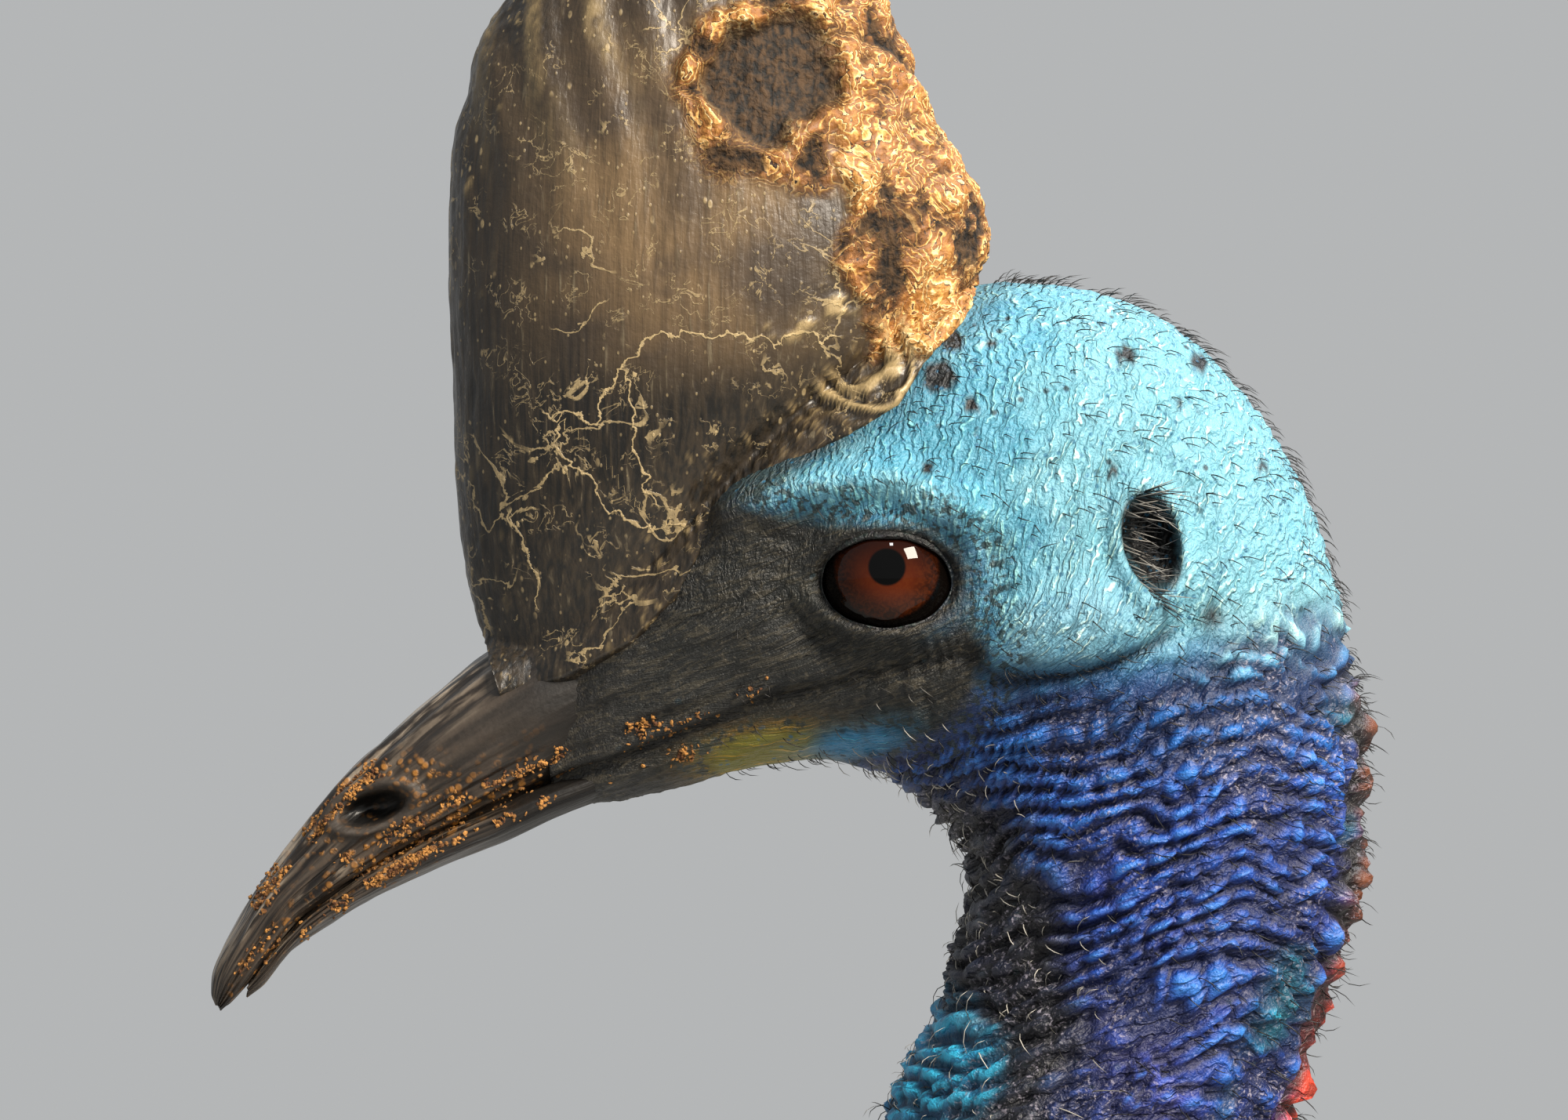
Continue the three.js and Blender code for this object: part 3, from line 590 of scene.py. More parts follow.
def modified(piece: bpy.types.Object) -> bpy.types.Mesh:
    """Takes the modifiers off a piece and gives it the mesh that they make.

    Args:
        piece: the piece.

    Returns:
        Its new mesh.
    """
    graph = bpy.context.evaluated_depsgraph_get()
    made = bpy.data.meshes.new_from_object(piece.evaluated_get(graph))
    piece.modifiers.clear()
    piece.data = made
    return made


def hand_over(
    piece: bpy.types.Object, slot: str, *nodes: str, finish: bpy.types.Material | None = None
) -> None:
    """Makes a piece wear its material, ride on the one body and stand for its nodes.

    Args:
        piece: finished piece.
        slot: name of the record's material slot; not used.
        nodes: solids that the piece takes the place of.
        finish: material, unless the piece has it.
    """
    if finish:
        piece.data.materials.append(finish)
    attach(piece, "root")
    if nodes:
        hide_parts(*nodes)
    LOG.info("%s: %d points, stands for %s", piece.name, len(piece.data.vertices), ", ".join(nodes) or "none")


class SideView:
    """Outermost half width of one side of some points, seen from the side."""

    def __init__(self, points: np.ndarray) -> None:
        """Sorts the points of one side by their place in the side view."""
        self.half = np.abs(points[:, 1])
        self.tree = search_tree(points * np.array([1, 0, 1]))

    def at(self, x: np.ndarray, z: np.ndarray) -> np.ndarray:
        """Half widths at the places, from the four nearest points of each.

        Args:
            x: places to the rear.
            z: places up.

        Returns:
            Half widths.
        """
        found = np.zeros(np.size(x))
        for i, (px, pz) in enumerate(zip(np.ravel(x), np.ravel(z))):
            near = self.tree.find_n((px, 0, pz), 4)
            weights = [1 / (0.05 + gap) ** 2 for _, _, gap in near]
            halves = [self.half[index] for _, index, _ in near]
            found[i] = np.dot(weights, halves) / sum(weights)
        return found.reshape(np.shape(x))


class Value:
    """Shader value that adds Math nodes when it is used in an expression."""

    def __init__(self, graph: Nodes, socket: bpy.types.NodeSocket | float) -> None:
        """Wraps an output socket or a number."""
        self.graph = graph
        self.socket = socket

    def _with(self, operation: str, *others: Value | float) -> Value:
        """One Math node on this value and the others."""
        inputs = {i: value for i, value in enumerate((self, *others))}
        return self.graph.node("ShaderNodeMath", {"operation": operation}, inputs)

    def __add__(self, other: Value | float) -> Value:
        """Sum."""
        return self._with("ADD", other)

    def __sub__(self, other: Value | float) -> Value:
        """Difference."""
        return self._with("SUBTRACT", other)

    def __mul__(self, other: Value | float) -> Value:
        """Product."""
        return self._with("MULTIPLY", other)

    def __rsub__(self, other: float) -> Value:
        """Number less this value."""
        return Value(self.graph, other)._with("SUBTRACT", self)

    __radd__ = __add__
    __rmul__ = __mul__

    def within(self, low: float, high: float) -> Value:
        """Smooth step from 0 at low to 1 at high, which may be the lower number."""
        settings = {"interpolation_type": "SMOOTHSTEP"}
        return self.graph.node("ShaderNodeMapRange", settings, {0: self, 1: low, 2: high})


class Nodes:
    """Nodes of one tree."""

    def __init__(self, tree: bpy.types.NodeTree) -> None:
        """Takes the tree."""
        self.tree = tree

    def node(
        self, kind: str, settings: dict | None = None, inputs: dict | None = None, output: int | str = 0
    ) -> Value:
        """Adds a node.

        Args:
            kind: node's type name.
            settings: its properties, or its colour stops under "stops".
            inputs: values or links by socket name or number.
            output: socket that is handed back.

        Returns:
            The output as a value.
        """
        made = self.tree.nodes.new(kind)
        for name, setting in (settings or {}).items():
            if name == "stops":
                self._set_stops(made.color_ramp, setting)
            else:
                setattr(made, name, setting)
        for name, value in (inputs or {}).items():
            target = made.inputs[name]
            source = value.socket if isinstance(value, Value) else value
            if isinstance(source, bpy.types.NodeSocket):
                self.tree.links.new(source, target)
            else:
                target.default_value = source
        return Value(self, made.outputs[output]) if len(made.outputs) else Value(self, 0.0)

    @staticmethod
    def _set_stops(ramp: bpy.types.ColorRamp, stops: dict[float, int]) -> None:
        """Gives a ramp its places and the colours of their hex codes.

        Args:
            ramp: the ramp.
            stops: hex codes by place.
        """
        while len(ramp.elements) < len(stops):
            ramp.elements.new(0.5)
        for element, (place, code) in zip(ramp.elements, stops.items()):
            element.position = place
            element.color = tint(code)


class Graph(Nodes):
    """Nodes of one material."""

    def __init__(self, name: str) -> None:
        """Makes the material with an empty node tree.

        Args:
            name: material's name.
        """
        self.material = bpy.data.materials.new(name)
        self.material.use_nodes = True
        super().__init__(self.material.node_tree)
        self.tree.nodes.clear()

    def stored(self, name: str, output: str) -> Value:
        """Point attribute as a colour, a vector or a number, told by its output's name."""
        return self.node("ShaderNodeAttribute", {"attribute_name": name}, output=output)

    def place(self, stretch: Sequence[float] = (1, 1, 1), turn: float = 0.0) -> Value:
        """Object coordinates in millimetres, turned about Y and squeezed by a stretch on each axis.

        Args:
            stretch: stretch on each axis.
            turn: angle in radians.

        Returns:
            The coordinates.
        """
        source = self.node("ShaderNodeTexCoord", output="Object")
        if turn:
            source = self.node("ShaderNodeMapping", {}, {"Vector": source, "Rotation": (0.0, turn, 0.0)})
        return self.stretched(source, [MM * part for part in stretch])

    def stretched(self, vector: Value, stretch: Sequence[float]) -> Value:
        """Vector squeezed by a stretch on each axis."""
        scale = tuple(1 / part for part in stretch)
        return self.node("ShaderNodeMapping", {}, {"Vector": vector, "Scale": scale})

    def noise(self, vector: Value, size: float, detail: float = 3.0, distortion: float = 0.0) -> Value:
        """Noise from 0 to 1 with features of a size."""
        inputs = {"Vector": vector, "Scale": 1 / size, "Detail": detail, "Distortion": distortion}
        return self.node("ShaderNodeTexNoise", {}, inputs)

    def cells(self, vector: Value, size: float, feature: str = "F1") -> Value:
        """Distance in the cells of a spacing."""
        return self.node("ShaderNodeTexVoronoi", {"feature": feature}, {"Vector": vector, "Scale": 1 / size})

    def bent(self, vector: Value, size: float, reach: float) -> Value:
        """Vector shifted by noise of a size, by at most half a reach.

        Args:
            vector: the vector.
            size: size of the noise's features.
            reach: twice the largest shift.

        Returns:
            The shifted vector.
        """
        inputs = {"Vector": vector, "Scale": 1 / size, "Detail": 2.0}
        shift = self.node("ShaderNodeTexNoise", {}, inputs, "Color")
        inputs = {0: shift, 1: (reach,) * 3, 2: vector}
        return self.node("ShaderNodeVectorMath", {"operation": "MULTIPLY_ADD"}, inputs)

    def patches(self, size: float, low: float, high: float, detail: float = 3.0) -> Value:
        """Patches where noise of a size goes from a low value to a high one."""
        return self.noise(self.place(), size, detail).within(low, high)

    def specks(self, spacing: float, edge: tuple[float, float], tall: float = 1) -> Value:
        """Specks of a spacing, 1 within the second distance of their middles and 0 past the first."""
        return self.cells(self.place((1, 1, tall)), spacing).within(*edge)

    def wave(self, value: Value, length: float) -> Value:
        """Waves from 0 to 1 of a length."""
        sine = self.node("ShaderNodeMath", {"operation": "SINE"}, {0: value * (math.pi / length)})
        return sine * sine

    def parts(self, vector: Value, kind: str = "XYZ") -> list[Value]:
        """Three numbers of a vector, or of a colour where the kind is Color."""
        made = self.node(f"ShaderNodeSeparate{kind}", {}, {0: vector}).socket.node
        return [Value(self, output) for output in made.outputs]

    def mix(
        self, share: Value | float, first: Value | int, second: Value | int, way: str = "MIX"
    ) -> Value:
        """Two colours, or colours of hex codes, mixed by a share."""
        first, second = (tint(part) if isinstance(part, int) else part for part in (first, second))
        settings = {"data_type": "RGBA", "blend_type": way}
        return self.node("ShaderNodeMix", settings, {0: share, 6: first, 7: second}, output=2)

    def dented(self, height: Value, depth: float, strength: float) -> Value:
        """Normal bent by a height of a depth in millimetres."""
        inputs = {"Height": height, "Distance": depth * MM, "Strength": strength}
        return self.node("ShaderNodeBump", {}, inputs)

    def finish(self, sockets: dict) -> bpy.types.Material:
        """Ends the material with one principled shader.

        Args:
            sockets: values or links of the shader's sockets.

        Returns:
            The material.
        """
        shader = self.node("ShaderNodeBsdfPrincipled", {}, sockets)
        self.node("ShaderNodeOutputMaterial", {}, {"Surface": shader})
        return self.material


@dataclass(frozen=True)
class SkinFinish:
    """Bare wrinkled skin, whose colour and relief are stored on its points, with painted shade in its creases
    and low folds.
    """

    wrinkle: float = 0.55
    pore: float = 0.16
    roughness: float = 0.5

    def make(self) -> bpy.types.Material:
        """Material of the skin.

        Returns:
            The material.
        """
        g = Graph("bare_skin")
        colour = g.stored("Marking", "Color")
        relief = g.stored("Relief", "Fac")
        dark = g.stored("Dark", "Fac")
        grain = g.stored("Grain", "Vector")
        fine = g.stored("Fine", "Fac")
        bent = g.bent(g.bent(grain, 2.2, 3.0), 9.0, 7.0)
        lines = g.noise(g.stretched(bent, (3.4, 3.4, 0.75)), 1.0, 3.0, 0.5)
        large = g.cells(g.stretched(bent, (3.2, 3.2, 1.3)), 1.0, "DISTANCE_TO_EDGE").within(0.0, 0.4)
        small = g.cells(g.stretched(bent, (1.1, 1.1, 0.7)), 1.0, "DISTANCE_TO_EDGE").within(0.0, 0.45)
        across, _, along = g.parts(bent)
        rope = g.wave(along + across * 0.06, 2.7).within(0.0, 0.55) * (1 - dark) * fine.within(0.85, 0.5)
        crimp = (g.wave(along + across * 0.02, 1.5) - 0.5) * 0.42 * fine.within(0.6, 1.0)
        fibres = g.noise(g.bent(g.place((4.5, 4.5, 0.85), 0.36), 3.0, 1.6), 1.0, 3.0, 0.8)
        grit = g.noise(g.place(), 0.42, 4.0)
        blotch = g.noise(g.place(), 5.5, 4.0, 0.6)
        ridges = (lines - 0.5) * (1.0 - dark * 0.9) + (large - 0.6) * 0.32 + (small - 0.6) * 0.2 + crimp
        ridges = ridges + (rope - 0.5) * 0.9 * (1 - dark) + (fibres - 0.5) * 1.3 * dark
        # Creases between the wrinkles darkened towards blue: painted shade.
        crease_shade = (ridges * -1.0).within(0.05, 0.45) * (fine * 0.6 + 0.4)
        # Low parts of the stored relief darkened to deep blue: painted shade.
        low = (relief * -1.0).within(-0.3, 0.14) * (1 - fine.within(0.6, 0.95) * 0.72)
        base = g.mix(crease_shade * 0.8, colour, g.mix(1.0, colour, 0x3F8CB4, "MULTIPLY"))
        base = g.mix(low * 0.86, base, g.mix(1.0, colour, 0x1C2C4E, "MULTIPLY"))
        base = g.mix(blotch.within(0.42, 0.66) * 0.22, base, g.mix(1.0, base, 0xA0DCD8, "MULTIPLY"))
        speck = g.specks(4.2, (0.19, 0.1)) * g.patches(13.0, 0.48, 0.6) * fine
        base = g.mix(speck * 0.9, base, 0x0C2A33)
        dots = g.specks(1.7, (0.32, 0.16)) * g.patches(7.0, 0.4, 0.54)
        base = g.mix(dots * fine.within(0.7, 0.95) * 0.75, base, 0x1A5E80)
        shore = dark.within(0.02, 0.45) * dark.within(1.0, 0.8)
        base = g.mix(g.patches(1.5, 0.5, 0.58, 4.0) * shore * 0.85, base, 0x14221F)
        base = g.mix(g.patches(1.1, 0.56, 0.72, 5.0) * dark.within(0.5, 1.0) * 0.26, base, 0x6E6450)
        base = g.mix(fibres.within(0.5, 0.64) * dark.within(0.6, 1.0) * 0.26, base, 0x5A5240)
        folded = fine.within(0.72, 0.5) * fine.within(0.37, 0.43) * g.patches(15.0, 0.44, 0.6)
        base = g.mix(g.patches(0.8, 0.56, 0.66, 4.0) * folded * (1 - dark) * 0.6, base, 0x9A94A2)
        height = ridges * self.wrinkle * (fine * 0.72 + 0.28) + (grit - 0.5) * self.pore * 1.4
        rough = (grit - 0.5) * 0.25 + (relief * -0.12) + self.roughness + dark * 0.05
        surface = {"Base Color": base, "Roughness": rough, "Normal": g.dented(height, 1.4, 0.9)}
        return g.finish({**surface, "Specular IOR Level": 0.55})


@dataclass(frozen=True)
class HornFinish:
    """Keratin of the casque: dark horn, brown window, flaky amber, pale cracks and marks, painted sheen bands
    and painted shade between the flakes.
    """

    roughness: float = 0.3

    def make(self) -> bpy.types.Material:
        """Material of the casque.

        Returns:
            The material.
        """
        g = Graph("casque_horn")
        # The third colour channel, read as crack, holds the pale marks and the painted sheen bands.
        flake, window, crack = g.parts(g.stored("Marking", "Color"), "Color")
        relief = g.stored("Relief", "Fac")
        gap, near, crater_floor_and_shade = g.parts(g.stored("Crack", "Vector"))
        streaks = g.noise(g.stored("Grain", "Vector"), 1.0, 4.0, 0.4)
        cloud = g.noise(g.place(), 16.0, 4.0, 0.5)
        fine = g.noise(g.place(), 1.2, 5.0, 0.3)
        meander = (g.noise(g.place(), 5.0, 5.0, 0.4) - 0.5) * 9.0 + gap
        line = (meander * meander).within(0.1, 0.015) * near
        shore = g.noise(g.place(), 13.0, 6.0, 0.6) - 0.5
        worn = (shore * shore).within(0.00016, 0.00003) * g.patches(22.0, 0.5, 0.58)
        dark = g.mix(streaks.within(0.36, 0.66), 0x0D0B08, 0x2C2419)
        brown = g.mix(cloud.within(0.3, 0.7), 0x40352A, 0x6A563C)
        brown = g.mix(streaks.within(0.42, 0.7) * 0.45, brown, 0x2A2016)
        horn = g.mix(window, dark, brown)
        horn = g.mix(streaks.within(0.6, 0.74) * cloud.within(0.4, 0.6) * 0.4, horn, 0x857A62)
        layers = g.noise(g.bent(g.place(), 4.0, 3.0), 8.0, 4.0, 0.5) + relief * 0.12
        step = g.node("ShaderNodeMath", {"operation": "FRACT"}, {0: layers * 13.0})
        curl = step.within(0.55, 0.95)
        stops = {0.12: 0x2A1606, 0.36: 0x86541E, 0.6: 0xCC9A52, 0.86: 0xF0D8A4}
        # Amber ramp: lighter on raised flakes by their relief and darker at each layer's foot, painted light
        # and shade over its own cloudy tone.
        shade = curl * 0.34 + fine * 0.34 + cloud * 0.3 + relief * 0.22 - step.within(0.12, 0.0) * 0.4
        amber = g.node("ShaderNodeValToRGB", {"stops": stops}, {0: shade})
        horn = g.mix(flake, horn, amber)
        flecks = g.specks(3.0, (0.17, 0.09), 1.9) * g.patches(9.0, 0.5, 0.6)
        chips = g.specks(1.5, (0.2, 0.1), 1.5) * g.patches(6.0, 0.42, 0.55)
        scratch = g.noise(g.place(), 3.4, 5.0, 0.8) - 0.5
        scratch = (scratch * scratch).within(0.0003, 0.00005) * g.patches(7.0, 0.52, 0.6)
        pale = line + worn * 0.7 + flecks * 0.6 + chips * 0.45 + scratch * 0.5
        horn = g.mix(pale * (1 - flake), horn, g.mix(fine, 0x7C6A4A, 0xC2AC80))
        # Pale marks and painted sheen bands from the third channel.
        horn = g.mix(crack, horn, 0xB29A6C)
        # Dark crater floor, and painted shade between the flakes.
        crater_floor_and_shade_colour = g.mix((fine * 0.6 + streaks * 0.4).within(0.38, 0.62), 0x090705, 0x46331F)
        horn = g.mix(crater_floor_and_shade, horn, crater_floor_and_shade_colour)
        flaky = (layers * 13.0 - step) * 0.25 + curl * 0.16
        height = (streaks - 0.5) * 0.4 + flaky * flake + (fine - 0.5) * (flake + crater_floor_and_shade + 0.3) + pale * 0.3
        rough = fine * 0.25 + flake * 0.16 + crack * 0.2 + crater_floor_and_shade * 0.35 + self.roughness
        surface = {"Base Color": horn, "Roughness": rough, "Normal": g.dented(height, 0.6, 0.9)}
        coat = {"Coat Weight": 0.22 - flake * 0.16 - crater_floor_and_shade * 0.22, "Coat Roughness": 0.25}
        return g.finish({**surface, **coat, "Specular IOR Level": 0.4})


@dataclass(frozen=True)
class BillFinish:
    """Dark grooved horn of the bill with pale wear and orange grime in its grooves."""

    roughness: float = 0.34

    def make(self) -> bpy.types.Material:
        """Material of the bill.

        Returns:
            The material.
        """
        g = Graph("bill_horn")
        grain = g.stored("Grain", "Vector")
        worn, grime, rear, hole = (g.stored(name, "Fac") for name in ("Worn", "Grime", "Rear", "Hole"))
        streaks = g.noise(grain, 1.0, 4.0, 0.3)
        fine = g.noise(g.place(), 0.9, 4.0)
        base = g.mix(streaks.within(0.34, 0.68), 0x15110E, 0x453B32)
        base = g.mix(worn * streaks.within(0.44, 0.62), base, 0xAA9C8A)
        crumbs = g.specks(1.6, (0.55, 0.25)) * g.patches(3.0, 0.44, 0.58, 4.0) * grime
        base = g.mix(rear, base, g.mix(fine, 0x25211D, 0x3D3630))
        # Near black where Hole is high: painted shade inside the nostrils and at the bill's rear end.
        base = g.mix(hole, base, 0x050403)
        base = g.mix(crumbs, base, g.mix(fine, 0x6B3C0E, 0xC88A34))
        height = (streaks - 0.5) * 0.7 + (fine - 0.5) * 0.2 + crumbs * 0.8
        rough = fine * 0.15 + crumbs * 0.4 + rear * 0.32 + self.roughness - 0.05
        surface = {"Base Color": base, "Roughness": rough, "Normal": g.dented(height, 0.45, 0.9)}
        coat = {"Coat Weight": 0.3 - grime * 0.25 - rear * 0.3, "Coat Roughness": 0.22}
        return g.finish({**surface, **coat, "Specular IOR Level": 0.32})


@dataclass(frozen=True)
class EyeFinish:
    """Wet eyeball with a dark orange-brown iris about a black pupil."""

    middle: tuple[float, float, float]
    iris: float
    pupil: float

    def make(self, name: str) -> bpy.types.Material:
        """Material of one eye.

        Args:
            name: material's name.

        Returns:
            The material.
        """
        g = Graph(name)
        source = g.node("ShaderNodeTexCoord", output="Object")
        spot = [-part / MM for part in self.middle]
        inputs = {"Vector": source, "Location": (spot[0], 0.0, spot[2]), "Scale": (1 / MM, 0.0, 1 / MM)}
        flat = g.node("ShaderNodeMapping", {}, inputs)
        away = g.node("ShaderNodeVectorMath", {"operation": "LENGTH"}, {0: flat}, "Value")
        rays = g.noise(flat, 0.9, 4.0, 1.4)
        ring = away.within(self.pupil + 0.6, self.iris - 0.6)
        iris = g.mix(ring, 0x4A1A06, 0x1E0A03)
        iris = g.mix(rays.within(0.35, 0.7) * 0.55, iris, 0x50220A)
        # Upper part of the iris darkened: painted shade of the upper lid and brow.
        iris = g.mix(g.parts(flat)[2].within(-5.0, 4.5) * 0.88, iris, 0x0C0403)
        eye = g.mix(away.within(self.pupil - 0.25, self.pupil + 0.25), 0x020202, iris)
        eye = g.mix(away.within(self.iris - 0.35, self.iris + 0.5), eye, 0x060403)
        coat = {"Coat Weight": 0.34, "Coat Roughness": 0.02}
        return g.finish({"Base Color": eye, "Roughness": 0.5, **coat, "Specular IOR Level": 0.0})


@dataclass(frozen=True)
class PlumageFinish:
    """Coarse, hair-like feathers, near black with a brown cast, paler where they wear."""

    light: int = 0x4A4038
    dark: int = 0x0B0A0A

    def make(self) -> bpy.types.Material:
        """Material of the coat.

        Returns:
            The material.
        """
        g = Graph("plumage")
        draw, along, bare = g.parts(g.stored("Strand", "Color"), "Color")
        streaks = g.noise(g.place((1, 1, 6)), 2.0, 3.0)
        base = g.mix(draw * 0.55 + (streaks - 0.5) * 0.5, self.dark, 0x2A2420)
        base = g.mix(along.within(0.7, 1.0) * draw * 0.5, base, self.light)
        base = g.mix(bare, base, 0xA8A49C)
        rough = streaks * 0.25 + 0.4
        return g.finish({"Base Color": base, "Roughness": rough, "Specular IOR Level": 0.5})


@dataclass(frozen=True)
class KeratinFinish:
    """Hard, slightly grooved keratin of claws and wing quills."""

    light: int = 0x5A5046
    dark: int = 0x15120F

    def make(self, name: str) -> bpy.types.Material:
        """Material of claws or quills.

        Args:
            name: material's name.

        Returns:
            The material.
        """
        g = Graph(name)
        streaks = g.noise(g.stored("Grain", "Vector"), 1.0, 4.0, 0.2)
        fine = g.noise(g.place(), 1.4, 4.0)
        base = g.mix(streaks.within(0.36, 0.7), self.dark, self.light)
        height = (streaks - 0.5) * 0.8 + (fine - 0.5) * 0.25
        coat = {"Coat Weight": 0.25, "Coat Roughness": 0.25}
        rough, normal = fine * 0.2 + 0.28, g.dented(height, 0.4, 0.8)
        return g.finish({"Base Color": base, "Roughness": rough, "Normal": normal, **coat})


@dataclass(frozen=True)
class CrumbFinish:
    """Dry orange crumbs."""

    def make(self) -> bpy.types.Material:
        """Material of the crumbs.

        Returns:
            The material.
        """
        g = Graph("dry_crumbs")
        speck = g.noise(g.place(), 1.3, 3.0)
        base = g.mix(speck.within(0.35, 0.65), 0x4A2A12, 0xA8763A)
        return g.finish({"Base Color": base, "Roughness": 0.9, "Normal": g.dented(speck, 0.3, 0.6)})


@dataclass(frozen=True)
class FloorFinish:
    """Plain pale floor."""

    def make(self) -> bpy.types.Material:
        """Material of the floor.

        Returns:
            The material.
        """
        g = Graph("pale_floor")
        cloud = g.noise(g.place(), 300.0)
        base = g.mix(cloud, 0xCFCDC8, 0xD8D6D2)
        return g.finish({"Base Color": base, "Roughness": 0.6})


# Head forms in the side view, alike on both sides.
EYE = Oval(-0.8, -0.8, 11.4, 8.4)
EYE_RADIUS = 12.5
EYE_SIDE = 20.5
EAR = Oval(44.5, 5.8, 4.9, 8.6, 13.0)
CHEEK = Oval(31.5, -7.6, 18.5, 8.4, 15.0)
BROW = Line(((-27, 11), (-16, 14.5), (0, 15), (12, 10.5)))
MOUTH = Line(((-64, -39.6), (-46, -31.5), (-32, -26), (-20, -20.8), (-7, -17.9), (14.8, -13.6)))
CASQUE_EDGE = (
    (-69, -19.5), (-57, -16.2), (-46, -10.4), (-37.7, -1.7), (-33.0, 7.5), (-27, 15.0),
    (-18, 20.6), (-9, 25.0), (0.2, 30.8), (4.6, 38), (12, 46), (18, 53),
)
CASQUE_GROUND = Line((*CASQUE_EDGE, (40, 220), (-200, 220), (-200, -19.5)))
DARK_FACE = Line(
    (
        (-28, 13), (-18.5, 11.6), (-7.5, 10), (6.2, 9.2), (13.5, 3.7), (14.5, -7.5), (18, -13),
        (15, -19.9), (9.6, -28), (-0.7, -31), (-11.6, -33), (-80, -60), (-90, 0), (-45, 20),
    )
)
THROAT = Line(((4, -38), (17, -58), (20, -78), (12, -98), (2, -112)))
SPECKS = (
    (40.4, 38.1, 1.3), (53.4, 37, 1.3), (13.7, 29, 1.1), (49.6, 30.1, 0.6),
    (64.4, 19.2, 0.9), (10.3, 40.8, 1.6), (6.2, 18.5, 0.9), (37.7, 17.8, 0.8),
    (-0.7, 30.8, 1.6), (8.2, 34.5, 2.2), (33.6, 38.5, 0.5), (17.1, 40.1, 0.8),
)
BLUE_LINE = ((15, 27, 39, 52, 66, 80), (-16, -15.5, -16, -14.5, -13, -12))


@dataclass
class Part:
    """Closed mesh of the skin with what is stored on its points."""

    points: np.ndarray
    faces: list[np.ndarray]
    marking: np.ndarray
    relief: np.ndarray
    dark: np.ndarray
    grain: np.ndarray
    fine: np.ndarray

    @staticmethod
    def tube(grid: np.ndarray, *stored: np.ndarray | float) -> Part:
        """Closed tube of a grid of points with what is stored, as grids or as one number for all."""
        grids = (np.broadcast_to(v, grid.shape[:2]) if np.ndim(v) < 2 else v for v in stored)
        return Part(*closed_tube(grid), *(with_ends(values) for values in grids))


def lid_edge(side: int, turn: np.ndarray, share: float) -> np.ndarray:
    """Points on the eyeball below the edge of its opening.

    Args:
        side: -1 on the left, 1 on the right.
        turn: angles round the opening.
        share: distance from its middle, 1 on the edge.

    Returns:
        Points, one row each.
    """
    x = EYE.x + EYE.long * share * np.cos(turn)
    z = EYE.z + EYE.tall * share * np.sin(turn)
    y = EYE_SIDE + np.sqrt(np.maximum(0, EYE_RADIUS**2 - x**2 - z**2))
    return np.stack([x, side * y, z], -1)


